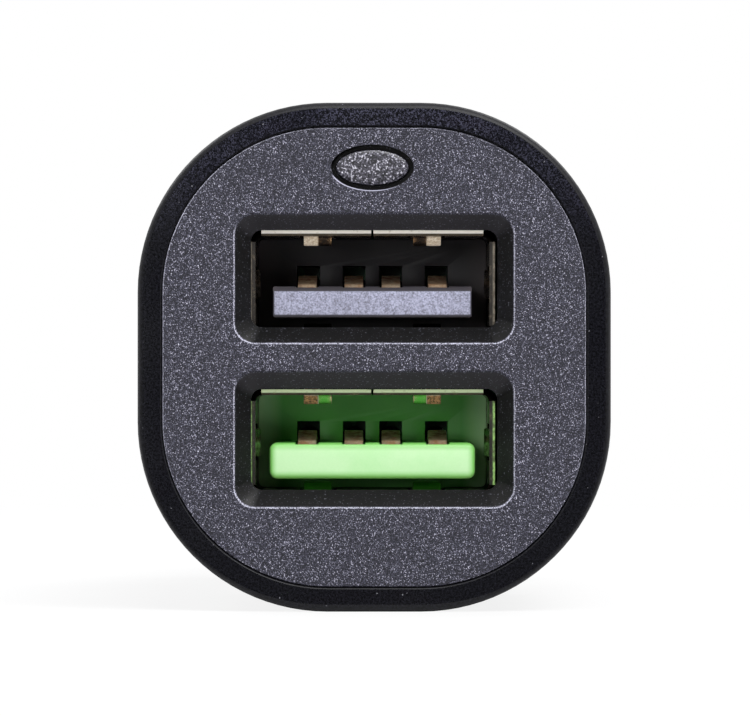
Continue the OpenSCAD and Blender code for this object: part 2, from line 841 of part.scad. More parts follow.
// Screw-in nose cap that holds the centre contact
module nose_cap() {
    grip_z = barrel_end_z - cap_grip_len;
    color("#1b1b1e")
    plug_frame()
        difference() {
            rotate_extrude()
                polygon([
                    [0, barrel_end_z + cap_stem_len],
                    [cap_stem_r - edge_break, barrel_end_z + cap_stem_len],
                    [cap_stem_r, barrel_end_z + cap_stem_len - edge_break],
                    [cap_stem_r, barrel_end_z],
                    [barrel_end_r - edge_break, barrel_end_z],
                    [barrel_end_r, barrel_end_z - edge_break],
                    [barrel_end_r, grip_z],
                    [cap_nose_r + 0.6, cap_end_z + 0.6],
                    [cap_nose_r, cap_end_z],
                    [0, cap_end_z]
                ]);
            translate([0, 0, cap_seat_z])
                cylinder(r = cap_bore_r, h = cap_len + cap_stem_len);
            translate([0, 0, cap_end_z - over])
                cylinder(r = tip_r + tip_clearance, h = cap_end_t + 2 * over);
            for (i = [0:grip_notches - 1])
                rotate([0, 0, 360 / grip_notches * i])
                    translate([barrel_end_r + 0.1, 0, grip_z - over])
                        cylinder(r = grip_notch_r, h = cap_grip_len + over - 0.6, $fn = 24);
        }
}

// Sprung centre contact: a drawn cup that holds the spring, with its rim behind the cap's end wall
module centre_contact() {
    tip_z = cap_end_z - tip_out;
    color("#d9d5cc")
    plug_frame()
        difference() {
            rotate_extrude() {
                translate([0, cap_seat_z]) square([tip_head_d / 2, tip_head_t]);
                translate([0, tip_z + tip_end_r]) square([tip_r, cap_seat_z - tip_z - tip_end_r + 0.5]);
                translate([0, tip_z]) square([tip_r - tip_end_r, tip_end_r + 0.5]);
                translate([tip_r - tip_end_r, tip_z + tip_end_r]) circle(tip_end_r);
            }
            translate([0, 0, tip_back_z - tip_bore_depth])
                cylinder(r = spring_r + spring_fit, h = tip_bore_depth + over);
        }
}

// Height of the spring's wire along its length, with closed turns at both ends
function spring_height(s, low, high) =
    let (closed = 1 / spring_turns, rise = spring_wire_d * 1.05)
    s < closed ? low + rise * s / closed
    : s > 1 - closed ? high - rise * (1 - s) / closed
    : low + rise + (high - low - 2 * rise) * (s - closed) / (1 - 2 * closed);

module contact_spring() {
    wire_r = spring_wire_d / 2;
    mean_r = spring_r - wire_r;
    low = spring_low_z + wire_r;
    high = spring_high_z - wire_r;
    rings = spring_turns * spring_steps;
    points = [for (i = [0:rings], k = [0:spring_sides - 1])
        let (
            turn = 360 * spring_turns * i / rings,
            around = 360 * k / spring_sides,
            reach = mean_r + wire_r * cos(around)
        )
        [reach * cos(turn), reach * sin(turn), spring_height(i / rings, low, high) + wire_r * sin(around)]];
    sides = [for (i = [0:rings - 1], k = [0:spring_sides - 1])
        let (a = i * spring_sides + k, b = i * spring_sides + (k + 1) % spring_sides)
        [a, a + spring_sides, b + spring_sides, b]];
    first = [for (k = [0:spring_sides - 1]) k];
    last = [for (k = [spring_sides - 1:-1:0]) rings * spring_sides + k];
    color("#b9b9bd")
    plug_frame()
        polyhedron(points, concat([first], sides, [last]), convexity = 10);
}

// Cup on the end of the main board that takes the spring
module spring_cup() {
    color("#c9a55c")
    plug_frame()
        difference() {
            translate([0, 0, cup_floor_z - cup_depth])
                cylinder(r = cup_r, h = cup_depth + cup_floor);
            translate([0, 0, cup_floor_z - cup_depth - over])
                cylinder(r = spring_r + spring_fit, h = cup_depth + over);
        }
}

// Places a component on one face of the main board, at x from its middle and at z along it
module on_board(face, x, z) {
    plug_frame()
        mirror([0, face > 0 ? 0 : 1, 0])
            translate([x, board_t / 2, z]) children();
}

// Block with its footprint centred and its base on the board
module component_block(size) {
    translate([-size[0] / 2, 0, -size[2] / 2]) cube(size);
}

// Moulded power inductor with cut corners and a terminal at each side
module power_inductor(face) {
    w = inductor_size[0] / 2;
    l = inductor_size[2] / 2;
    cut = inductor_cut;
    color("#3a3a3f")
    on_board(face, 0, inductor_z) {
        rotate([-90, 0, 0])
            linear_extrude(inductor_size[1])
                polygon([
                    [-w + cut, -l], [w - cut, -l], [w, -l + cut], [w, l - cut],
                    [w - cut, l], [-w + cut, l], [-w, l - cut], [-w, -l + cut]
                ]);
        component_block([2 * (w + inductor_terminal), 0.7, 2.4]);
    }
}

// Electrolytic can with the rolled groove near its seal
module capacitor_can(d, h) {
    groove_z = 1.2;
    groove = 0.3;
    edge = 0.2;
    rotate_extrude()
        polygon([
            [0, 0], [d / 2 - edge, 0], [d / 2, edge],
            [d / 2, groove_z - groove], [d / 2 - groove, groove_z], [d / 2, groove_z + groove],
            [d / 2, h - edge], [d / 2 - edge, h], [0, h]
        ]);
}

// The input capacitor lies along the board
module input_capacitor() {
    color("#2a3550")
    on_board(1, 0, input_can_z + input_can_len / 2)
        translate([0, input_can_d / 2, 0])
            rotate([180, 0, 0])
                capacitor_can(input_can_d, input_can_len);
}

module output_capacitor(face) {
    color("#b8bcc2")
    on_board(face, output_can_x, output_can_z)
        rotate([-90, 0, 0])
            capacitor_can(output_can_d, output_can_h);
}

// Chip package with its leads down to the board on both sides
module chip(size, leads, pitch) {
    lead_out = 0.6;
    lead_in = 0.3;
    lead_w = 0.4;
    stand = 0.15;
    translate([-size[0] / 2, stand, -size[2] / 2])
        cube([size[0], size[1] - stand, size[2]]);
    for (side = [-1, 1], i = [0:leads - 1])
        translate([
            side > 0 ? size[0] / 2 - lead_in : -size[0] / 2 - lead_out,
            0,
            (i - (leads - 1) / 2) * pitch - lead_w / 2
        ])
            cube([lead_in + lead_out, size[1] * 0.4, lead_w]);
}

module converter_chip(face) {
    color("#232326") on_board(face, chip_x, chip_z) chip(chip_size, chip_leads, chip_pitch);
}

module charge_control_chip() {
    color("#232326")
    on_board(-1, controller_x, controller_z)
        chip(controller_size, controller_leads, controller_pitch);
}

module diode(face) {
    lead = [1.4, 0.5, diode_size[2] + 0.9];
    color("#26262a")
    on_board(face, face * diode_x, diode_z) {
        component_block(diode_size);
        component_block(lead);
    }
}

module fuse() {
    color("#e7e3d6") on_board(-1, fuse_x, fuse_z) component_block(fuse_size);
}

module ceramic_capacitors() {
    color("#b58f66")
    for (place = ceramic_places)
        on_board(-1, place[0], place[1]) component_block(ceramic_size);
}

module resistors() {
    color("#1d1d20")
    for (place = resistor_places)
        on_board(-1, place[0], place[1]) component_block(resistor_size);
}

// Turns the plug so that its ports face -Y and its top stays up
module plug_frame() {
    rotate([90, 0, 0]) children();
}

housing();
face_plate();
light_pipe();
status_led();
front_board();
main_board();
upper_port_shell();
lower_port_shell();
upper_port_tongue();
lower_port_tongue();
placed_contact(upper_shell_y, upper_tongue_t, 0);  // upper_power_contact
placed_contact(upper_shell_y, upper_tongue_t, 1);  // upper_data_minus_contact
placed_contact(upper_shell_y, upper_tongue_t, 2);  // upper_data_plus_contact
placed_contact(upper_shell_y, upper_tongue_t, 3);  // upper_ground_contact
placed_contact(lower_shell_y, lower_tongue_t, 0);  // lower_power_contact
placed_contact(lower_shell_y, lower_tongue_t, 1);  // lower_data_minus_contact
placed_contact(lower_shell_y, lower_tongue_t, 2);  // lower_data_plus_contact
placed_contact(lower_shell_y, lower_tongue_t, 3);  // lower_ground_contact
side_contact(-1);  // left_side_contact
side_contact(1);  // right_side_contact
nose_cap();
centre_contact();
contact_spring();
spring_cup();
power_inductor(1);  // upper_inductor
power_inductor(-1);  // lower_inductor
input_capacitor();
output_capacitor(1);  // upper_output_capacitor
output_capacitor(-1);  // lower_output_capacitor
converter_chip(1);  // upper_converter_chip
converter_chip(-1);  // lower_converter_chip
charge_control_chip();
diode(1);  // upper_diode
diode(-1);  // lower_diode
fuse();
ceramic_capacitors();
resistors();
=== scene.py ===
# %% [markdown]
# A two-port USB plug for a car's 12 V socket
#
# The plug is a small moulded product seen very close. What sells it at that distance is surface: a gloss
# black rim, a grained face plate, folded sheet metal and two moulded tongues, one dark and one green.
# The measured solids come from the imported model. This lesson models the pieces that show over them, with
# the edges and folds that the real ones have, and gives every piece the finish of its material.

# %% Load the measured model
import math

import bpy
import bmesh
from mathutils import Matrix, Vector


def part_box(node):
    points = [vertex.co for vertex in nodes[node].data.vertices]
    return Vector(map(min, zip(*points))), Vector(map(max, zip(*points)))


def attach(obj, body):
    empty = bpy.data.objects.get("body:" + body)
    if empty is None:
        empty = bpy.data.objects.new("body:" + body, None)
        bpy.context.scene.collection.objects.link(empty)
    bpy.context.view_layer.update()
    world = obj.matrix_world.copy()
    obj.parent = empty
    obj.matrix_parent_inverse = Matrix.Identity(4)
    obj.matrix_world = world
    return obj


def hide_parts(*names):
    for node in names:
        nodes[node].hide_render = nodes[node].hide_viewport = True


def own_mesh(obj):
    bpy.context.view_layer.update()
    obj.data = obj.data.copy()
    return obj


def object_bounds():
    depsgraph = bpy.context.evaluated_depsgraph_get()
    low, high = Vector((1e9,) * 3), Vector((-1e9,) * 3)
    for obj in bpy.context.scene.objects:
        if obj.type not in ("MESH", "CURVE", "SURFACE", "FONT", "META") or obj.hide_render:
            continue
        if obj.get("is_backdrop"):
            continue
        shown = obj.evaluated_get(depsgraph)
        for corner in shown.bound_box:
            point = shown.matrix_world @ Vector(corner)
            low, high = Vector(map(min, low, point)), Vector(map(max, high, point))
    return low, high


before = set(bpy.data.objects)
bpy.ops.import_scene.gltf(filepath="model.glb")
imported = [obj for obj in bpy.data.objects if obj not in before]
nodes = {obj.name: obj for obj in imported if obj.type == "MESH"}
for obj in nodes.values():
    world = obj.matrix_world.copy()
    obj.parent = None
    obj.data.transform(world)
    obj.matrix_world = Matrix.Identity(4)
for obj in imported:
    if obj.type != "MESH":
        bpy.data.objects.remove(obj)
cad_low, cad_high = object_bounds()
mm = 0.001
print("measured box in mm:", [round(c / mm, 2) for c in (cad_high - cad_low)])


# %% [markdown]
# Small helpers come first. A colour is written as the hex value that a colour picker shows, and one
# function turns it into the linear numbers that the shaders work with. A second one adds any shader node
# and fills its inputs, so that the code below reads like the node editor.

# %% Colours and nodes
def linear(hex_colour):
    """The linear RGBA of an sRGB hex colour."""
    channels = [int(hex_colour[i:i + 2], 16) / 255 for i in (1, 3, 5)]
    return [c / 12.92 if c <= 0.04045 else ((c + 0.055) / 1.055) ** 2.4 for c in channels] + [1.0]


def add_node(tree, kind, values=None, output=0):
    """Adds a shader node and gives back one of its outputs, by name or number.

    A value goes to the input of that name or number, or else to the property of that name. A colour input
    takes a hex colour, and another node's output is linked.
    """
    node = tree.nodes.new("ShaderNode" + kind)
    for key, value in (values or {}).items():
        if isinstance(value, bpy.types.NodeSocket):
            tree.links.new(value, node.inputs[key])
        elif isinstance(key, int) or key in node.inputs:
            node.inputs[key].default_value = linear(value) if isinstance(value, str) else value
        else:
            setattr(node, key, value)
    return node.outputs[output]


def wear(material, *pieces):
    """Gives pieces one material in place of whatever they had."""
    for piece in pieces:
        piece.data.materials.clear()
        piece.data.materials.append(material)


def solids(*names):
    """Some of the measured model's nodes."""
    return [nodes[name] for name in names]


def new_material(name, pieces, colour, roughness, metallic=0.0, ior=None, specular=None):
    """Dresses pieces in a new material with plain values, and gives back its node tree."""
    material = bpy.data.materials.new(name)
    material.use_nodes = True
    shader = material.node_tree.nodes["Principled BSDF"]
    plain = {"Base Color": linear(colour), "Roughness": roughness, "Metallic": metallic, "IOR": ior,
             "Specular IOR Level": specular}
    for socket, value in plain.items():
        if value is not None:
            shader.inputs[socket].default_value = value
    wear(material, *pieces)
    return material.node_tree


# %% [markdown]
# The camera stands square in front of the face, 355 mm away. That distance comes from the photo: the
# contact holes at the back of a port look 2.5 percent smaller than its mouth, 9 mm nearer. A long lens
# then fills the frame, with 18.8 pixels to the millimetre at the rim.

# %% Camera
image_w, image_h = 750, 716
sensor_w = 36.0
rim_y = cad_low.y
camera_distance = 355 * mm
pixels_per_mm = 18.8
object_centre_px = (374.2, 357.2)

camera_data = bpy.data.cameras.new("camera")
camera = bpy.data.objects.new("camera", camera_data)
bpy.context.scene.collection.objects.link(camera)
bpy.context.scene.camera = camera
camera_data.sensor_width = sensor_w
camera_data.lens = pixels_per_mm * (camera_distance / mm) / image_w * sensor_w
camera_data.clip_start = 0.01
camera_data.clip_end = 20
across = (image_w / 2 - object_centre_px[0]) / pixels_per_mm * mm
up = (object_centre_px[1] - image_h / 2) / pixels_per_mm * mm
camera.location = (across, rim_y - camera_distance, up)
camera.rotation_euler = (math.radians(90), 0, 0)
bpy.context.scene.view_settings.view_transform = "Standard"
print("lens in mm:", round(camera_data.lens, 1))

# %% [markdown]
# The plug lies on a pale floor in a white studio. The floor and the world are white to the camera and to
# mirror rays, so the background is white without more light on the plug. Near the plug the floor keeps some
# of its real shade, so a faint shadow stays, and farther off it turns pure white and has no horizon.

# %% Floor
floor_z, floor_reach = cad_low.z, 4
shaded_reach, white_reach, least_white = 0.05, 0.22, 0.86


def plain_sheet(name, low, high):
    """A flat sheet between two corners, lying or upright, declared as stage."""
    corners = [low, (high[0], low[1], low[2]), high, (low[0], high[1], high[2])]
    mesh = bpy.data.meshes.new(name)
    mesh.from_pydata(corners, [], [[0, 1, 2, 3]])
    sheet = bpy.data.objects.new(name, mesh)
    bpy.context.scene.collection.objects.link(sheet)
    sheet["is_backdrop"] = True
    return sheet


floor = plain_sheet("floor", (-floor_reach, -floor_reach, floor_z), (floor_reach, floor_reach, floor_z))
tree = new_material("pale_studio_floor", [floor], "#f4f4f4", 0.9)
place = add_node(tree, "TexCoord", output="Object")
distance = add_node(tree, "VectorMath", {"operation": "LENGTH", 0: place}, "Value")
whiter = add_node(tree, "MapRange", {"Value": distance, "From Min": shaded_reach, "From Max": white_reach,
                                     "To Min": least_white})
by_camera = add_node(tree, "LightPath", output="Is Camera Ray")
share = add_node(tree, "Math", {"operation": "MULTIPLY", 0: by_camera, 1: whiter})
glow = add_node(tree, "Emission", {"Color": "#ffffff", "Strength": 1.0})
mixed = add_node(tree, "MixShader", {0: share, 1: tree.nodes["Principled BSDF"].outputs[0], 2: glow})
tree.links.new(mixed, tree.nodes["Material Output"].inputs["Surface"])

# %% [markdown]
# The light is what separates the finishes. One large softbox stands high in front and a little to the
# right, so it lights the face and the edges but can't look into the ports. A black card behind the camera
# keeps the room's light out of the ports and gives the gloss rim something dark to mirror. A second one
# lies on the floor in front of the plug, where the rim would mirror the pale floor, and only mirrors see it.
# Two softboxes behind the plug draw its edges when it is seen from there, and a weak one low in front lifts
# the ports a little.

# %% World
room_strength, shown_strength = 0.3, 1.0
world = bpy.data.worlds.new("studio")
bpy.context.scene.world = world
world.use_nodes = True
tree = world.node_tree
white = tree.nodes["Background"]
white.inputs["Color"].default_value = linear("#ffffff")
white.inputs["Strength"].default_value = shown_strength
seen = add_node(tree, "LightPath", output="Is Camera Ray")
for ray in ("Is Glossy Ray", "Is Transmission Ray"):
    mirrored = add_node(tree, "LightPath", output=ray)
    seen = add_node(tree, "Math", {"operation": "MAXIMUM", 0: seen, 1: mirrored})
room = add_node(tree, "Background", {"Color": "#f6f5ff", "Strength": room_strength})
mixed = add_node(tree, "MixShader", {0: seen, 1: room, 2: white.outputs[0]})
tree.links.new(mixed, tree.nodes["World Output"].inputs["Surface"])
print("the world lights at", room_strength, "and shows at", shown_strength)

# %% Black cards and softboxes
card_y, card_reach, card_top = rim_y - 0.5, 0.9, 0.32
floor_card_y, floor_card_z, floor_card_reach = rim_y - 1.5 * mm, floor_z + 0.2 * mm, 0.2

card = plain_sheet("black_card", (-card_reach, card_y, floor_z), (card_reach, card_y, card_top))
floor_card = plain_sheet("black_floor_card", (-floor_card_reach, card_y, floor_card_z),
                         (floor_card_reach, floor_card_y, floor_card_z))
tree = new_material("black_card_velvet", [card, floor_card], "#0a0a0c", 0.95)
for hidden in (card, floor_card):
    hidden.visible_camera = False
    hidden.visible_shadow = False
floor_card.visible_diffuse = False


def softbox(name, azimuth, elevation, distance, size, watts):
    """A square softbox that faces the plug. Azimuth 0 is in front of the ports, and 90 is on the right."""
    azimuth, elevation = math.radians(azimuth), math.radians(elevation)
    towards = Vector((math.sin(azimuth) * math.cos(elevation), -math.cos(azimuth) * math.cos(elevation),
                      math.sin(elevation)))
    data = bpy.data.lights.new(name, "AREA")
    data.shape = "SQUARE"
    data.size = size
    data.energy = watts
    lamp = bpy.data.objects.new(name, data)
    bpy.context.scene.collection.objects.link(lamp)
    lamp.location = Vector((0, rim_y, 0)) + towards * distance
    lamp.rotation_euler = towards.to_track_quat("Z", "Y").to_euler()
    print(name, "at", [round(c, 2) for c in lamp.location], "gives", watts, "W")


softbox("softbox_high_front", 20, 46, 0.8, 0.5, 7.8)
softbox("softbox_behind_left", -125, 40, 0.9, 0.5, 3)
softbox("softbox_behind_right", 140, 45, 0.9, 0.5, 3)
softbox("small_fill", -16, 6, 0.6, 0.12, 0.4)


# %% [markdown]
# Each piece is modelled as by hand. A sheet with rounded corners or a ring is added at its size and place,
# and then its face or its open edge is pushed, stepped in or moved to the next ring until the form is
# done. These helpers hold the few moves that every piece here is made of. All their sizes are in mm.

# %% Starting a piece
def deselect_all():
    """Leaves edit mode and deselects everything."""
    if bpy.context.object and bpy.context.object.mode == "EDIT":
        bpy.ops.object.mode_set(mode="OBJECT")
    bpy.ops.object.select_all(action="DESELECT")


def only(piece):
    """Selects one piece, in object mode, and nothing else."""
    deselect_all()
    piece.select_set(True)
    bpy.context.view_layer.objects.active = piece


def start(name, kind):
    """Names the shape just added, and opens it in edit mode with its points, edges or faces selected."""
    piece = bpy.context.object
    piece.name = name
    bpy.ops.object.transform_apply(location=True, rotation=True, scale=True)
    bpy.ops.object.mode_set(mode="EDIT")
    bpy.ops.mesh.select_mode(type=kind)
    bpy.ops.mesh.select_all(action="SELECT")
    return piece


def rounded_sheet(name, width, height, radius, centre, segments):
    """Starts a piece: a flat sheet with round corners that faces the ports' side, left in edit mode."""
    deselect_all()
    bpy.ops.mesh.primitive_plane_add(size=1, location=[c * mm for c in centre],
                                     rotation=(math.radians(90), 0, 0))
    bpy.context.object.scale = (width * mm, height * mm, 1)
    piece = start(name, "VERT")
    bpy.ops.mesh.bevel(offset=radius * mm, offset_type="OFFSET", segments=segments, affect="VERTICES",
                       profile=0.5)
    bpy.ops.mesh.select_mode(type="FACE")
    bpy.ops.mesh.select_all(action="SELECT")
    return piece


def ring(name, radius, y, filled=False, points=96):
    """Starts a turned piece: a circle around the plug's axis, left in edit mode."""
    deselect_all()
    bpy.ops.mesh.primitive_circle_add(vertices=points, radius=radius * mm, location=(0, y * mm, 0),
                                      fill_type="NGON" if filled else "NOTHING",
                                      rotation=(math.radians(90), 0, 0))
    return start(name, "FACE" if filled else "EDGE")


# %% Shaping it
def push(distance):
    """Extrudes the selection along the plug. Towards the ports is negative."""
    bpy.ops.mesh.extrude_region_move(TRANSFORM_OT_translate={"value": (0, distance * mm, 0)})


def step_in(thickness, depth=0.0):
    """Insets the selected face, and lifts the new face by a depth."""
    bpy.ops.mesh.inset(thickness=thickness * mm, depth=depth * mm)


def round_over(radius, steps):
    """Rounds the edge around the selected face, in small steps in and forwards."""
    for k in range(steps):
        a, b = [math.radians(90 * turned / steps) for turned in (k, k + 1)]
        step_in(radius * (math.cos(a) - math.cos(b)), radius * (math.sin(b) - math.sin(a)))


def next_ring(y, place):
    """Extrudes the selection to a new station along the plug, where place(x, z) moves each point."""
    bpy.ops.mesh.extrude_region_move(TRANSFORM_OT_translate={"value": (0, 0, 0)})
    mesh = bmesh.from_edit_mesh(bpy.context.object.data)
    for point in mesh.verts:
        if point.select:
            x, z = place(point.co.x / mm, point.co.z / mm)
            point.co = (x * mm, y * mm, z * mm)
    bmesh.update_edit_mesh(bpy.context.object.data)


def on_radius(radius):
    """A place rule: every point goes straight in or out to one radius."""
    def place(x, z):
        reach = math.hypot(x, z)
        return x / reach * radius, z / reach * radius
    return place


def turn(*stations):
    """Goes on along a turned outline, through stations of y and radius."""
    for y, radius in stations:
        next_ring(y, on_radius(radius))


def within_radius(radius):
    """A place rule: points outside a radius come straight in to it, and the others stay."""
    def place(x, z):
        factor = min(1.0, radius / math.hypot(x, z))
        return x * factor, z * factor
    return place


def to_section(old, new):
    """A place rule between rounded rectangles: each its width, height, corner radius and centre x and z."""
    def place(x, z):
        moved = []
        for value, half_old, half_new, middle_old, middle_new in (
                (x, old[0] / 2, new[0] / 2, old[3], new[3]), (z, old[1] / 2, new[1] / 2, old[4], new[4])):
            side = math.copysign(1, value - middle_old)
            beyond = abs(value - middle_old) - (half_old - old[2])
            moved.append(middle_new + side * (half_new - new[2] + beyond * new[2] / old[2]))
        return moved
    return place


# %% Selecting and finishing
def select_where(kind, test):
    """Selects the faces or edges that pass a test, and nothing else."""
    bpy.ops.mesh.select_mode(type={"edges": "EDGE", "faces": "FACE"}[kind])
    bpy.ops.mesh.select_all(action="DESELECT")
    mesh = bmesh.from_edit_mesh(bpy.context.object.data)
    for item in getattr(mesh, kind):
        if test(item):
            item.select_set(True)
    mesh.select_flush_mode()
    bmesh.update_edit_mesh(bpy.context.object.data)


def lies_at(item, y):
    """True where every point of a face or edge lies at one station along the plug."""
    return all(abs(point.co.y / mm - y) < 0.004 for point in item.verts)


def apply_modifier(piece, kind, **settings):
    """Adds one modifier to a piece and applies it."""
    only(piece)
    modifier = piece.modifiers.new(kind.lower(), kind)
    for key, value in settings.items():
        setattr(modifier, key, value)
    bpy.ops.object.modifier_apply(modifier=modifier.name)


def close_shape(piece, smooth_deg=32):
    """Merges doubled points, turns the faces outwards, shades the piece and reports it."""
    only(piece)
    bpy.ops.object.mode_set(mode="EDIT")
    bpy.ops.mesh.select_mode(type="VERT")
    bpy.ops.mesh.select_all(action="SELECT")
    bpy.ops.mesh.remove_doubles(threshold=0.0005 * mm)
    bpy.ops.mesh.normals_make_consistent(inside=False)
    bpy.ops.object.mode_set(mode="OBJECT")
    bpy.ops.object.shade_smooth_by_angle(angle=math.radians(smooth_deg))
    print(piece.name, "has", len(piece.data.polygons), "faces")


def in_fixed_order(piece):
    """Rebuilds a mesh with its points, edges and faces sorted by place."""
    old, new = bmesh.new(), bmesh.new()
    old.from_mesh(piece.data)
    points = {}
    for point in sorted(old.verts, key=lambda v: tuple(v.co)):
        points[point] = new.verts.new(point.co)
    new.verts.index_update()

    def order(item):
        return [points[point].index for point in item.verts]

    for edge in sorted(old.edges, key=lambda e: sorted(order(e))):
        ends = sorted([points[point] for point in edge.verts], key=lambda v: v.index)
        new.edges.new(ends).smooth = edge.smooth
    for face in sorted(old.faces, key=lambda f: sorted(order(f))):
        first = order(face).index(min(order(face)))
        corners = [points[point] for point in face.verts]
        new.faces.new(corners[first:] + corners[:first]).smooth = face.smooth
    new.to_mesh(piece.data)
    for mesh in (old, new):
        mesh.free()


def cut_away(piece, cutters):
    """Takes the cutters' shapes out of a piece, and removes the cutters."""
    for cutter in cutters:
        close_shape(cutter)
        apply_modifier(piece, "BOOLEAN", operation="DIFFERENCE", solver="EXACT", object=cutter)
        bpy.data.objects.remove(cutter)


def join_into(piece, others):
    """Joins other pieces into one."""
    only(piece)
    for other in others:
        other.select_set(True)
    bpy.ops.object.join()


def true_flats(piece):
    """Lets the large faces set the shading, so that flats look flat right up to their rounded edges."""
    apply_modifier(piece, "WEIGHTED_NORMAL", keep_sharp=True, weight=80)


def soften_edges(piece, width, segments, angle_deg):
    """Rounds every sharp edge of a piece by a small width."""
    apply_modifier(piece, "BEVEL", width=width * mm, segments=segments, limit_method="ANGLE",
                   angle_limit=math.radians(angle_deg), use_clamp_overlap=True)


standing = {}


def stand_for(piece, node, body="plug"):
    """Says which CAD node a piece replaces, which is hidden, and which body the piece rides on."""
    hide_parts(node)
    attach(piece, body)
    standing[node] = piece


# %% [markdown]
# The housing is one injection moulding in gloss black: a rounded-square head, a shoulder that turns down to
# a round collar, and the barrel that goes into the car's socket. It could be cut from blocks, but its edges
# carry the reflections, so it is drawn as rings. One outline runs forwards, round the rim and into the
# head, and backwards over the shoulder and down the barrel, and the two ends are bridged.

# %% Housing: head, rim and hollow
head_w, head_h, head_corner_r = 25.2, 27.1, 10.1
rim_y_mm, plate_y_mm, plate_back_y_mm = -30.0, -29.85, -27.85
rim_wall, rim_round, rim_inner_round, head_wall = 1.28, 0.4, 0.1, 1.98
shoulder_ring_r, shoulder_r = 10.561, 4.0
collar_r, barrel_r, bore_r, thread_r = 10.45, 10.2, 8.4, 7.4
thread_y, barrel_end_y = 22, 28

housing_piece = rounded_sheet("housing_moulding", head_w, head_h, head_corner_r, (0, -shoulder_r, 0), 24)

# The straight sides get points of their own, which the shoulder can draw in
select_where("edges", lambda edge: edge.calc_length() > 2 * mm)
bpy.ops.mesh.subdivide(number_cuts=7)
select_where("faces", lambda face: True)
push(rim_y_mm + rim_round + shoulder_r)
round_over(rim_round, 6)
step_in(rim_wall - rim_round - rim_inner_round)
for k in range(3):
    a, b = math.radians(30 * k), math.radians(30 * (k + 1))
    step_in(rim_inner_round * (math.sin(b) - math.sin(a)), rim_inner_round * (math.cos(b) - math.cos(a)))
push(plate_back_y_mm - rim_y_mm - rim_inner_round)
step_in(head_wall - rim_wall)
push(-shoulder_r - plate_back_y_mm)


def over_shoulder(radius, angles):
    """Draws the selection in over the shoulder, along a quarter circle."""
    for degrees in angles:
        a = math.radians(degrees)
        next_ring(radius * math.cos(a) - shoulder_r, within_radius(shoulder_ring_r + radius * math.sin(a)))


# %% Housing: shoulder, barrel and slots
# The hollow's own shoulder, and then the bore down to the end of the barrel
over_shoulder(shoulder_r - head_wall, (72, 54, 36, 18, 0))
turn((-head_wall, bore_r), (thread_y, bore_r), (thread_y, thread_r), (barrel_end_y, thread_r))
bpy.ops.mesh.delete(type="ONLY_FACE")

# The outside: the back face opens, and its edge goes on over the shoulder and down the barrel
select_where("faces", lambda face: lies_at(face, -shoulder_r) and len(face.verts) > 100)
bpy.ops.mesh.delete(type="ONLY_FACE")
select_where("edges", lambda edge: edge.is_boundary and lies_at(edge, -shoulder_r))
over_shoulder(shoulder_r, range(80, -1, -10))
turn((0, collar_r), (4.7, collar_r), (4.85, 10.36), (5, barrel_r), (14, barrel_r), (22.5, barrel_r),
     (27.7, 9.0), (27.9, 8.88), (barrel_end_y, 8.7))
select_where("edges", lambda edge: edge.is_boundary and lies_at(edge, barrel_end_y))
bpy.ops.mesh.bridge_edge_loops()
close_shape(housing_piece)

# A slot on each side lets the sprung side contact out
slot_y, slot_len, slot_h, slot_corner_r = 13.6, 12.4, 5.5, 0.3
cutter_x, cutter_w = 10.5, 6
slots = []
for side in (-1, 1):
    slot_start = (side * cutter_x, slot_y - slot_len / 2, 0)
    slots.append(rounded_sheet("slot_cutter", cutter_w, slot_h, slot_corner_r, slot_start, 4))
    push(slot_len)
cut_away(housing_piece, slots)
soften_edges(housing_piece, 0.08, 2, 50)
close_shape(housing_piece)
true_flats(housing_piece)
stand_for(housing_piece, "housing")

# %% [markdown]
# The face plate is a separate moulding that snaps in behind the rim. Its front is spark-eroded, which gives
# a fine dark grain, and each port sits in a flared recess. The flare is lofted from the wide outline at the
# face to the window behind it, and taken out of the plate as one form.

# %% Face plate
plate_w, plate_h, plate_corner_r, plate_t, plate_round = 22.56, 24.46, 8.78, 2.0, 0.08
ports_x, upper_shell_z, lower_shell_z = -0.1, 3.92, -4.58
mouth_y = -28.55
window_w, window_corner_r = 13.15, 0.6
funnel_w, funnel_corner_r, funnel_depth, past_face = 15.0, 1.15, 1.0, 0.01
pocket_w, pocket_h = 13.3, 5.92
light_gap, groove_gap = 0.05, 0.29

# Each opening is its middle's height, the height of its flare at the face and that of the window behind
openings = ((upper_shell_z + 0.27, 7.0, 5.2), (lower_shell_z + 0.2, 7.35, 5.4))
light_z, pipe_w, pipe_h = 10.1, 3.84, 1.86


def oval_ring(name, half_w, half_h, y):
    """Starts a piece around the light's middle: a filled oval, left in edit mode."""
    piece = ring(name, 1, y, filled=True, points=64)
    bpy.ops.transform.resize(value=(half_w, 1, half_h), center_override=(0, y * mm, 0))
    bpy.ops.transform.translate(value=(ports_x * mm, 0, light_z * mm))
    return piece


plate_piece = rounded_sheet("face_plate_moulding", plate_w, plate_h, plate_corner_r,
                            (0, plate_back_y_mm, 0), 24)
push(-(plate_t - plate_round))

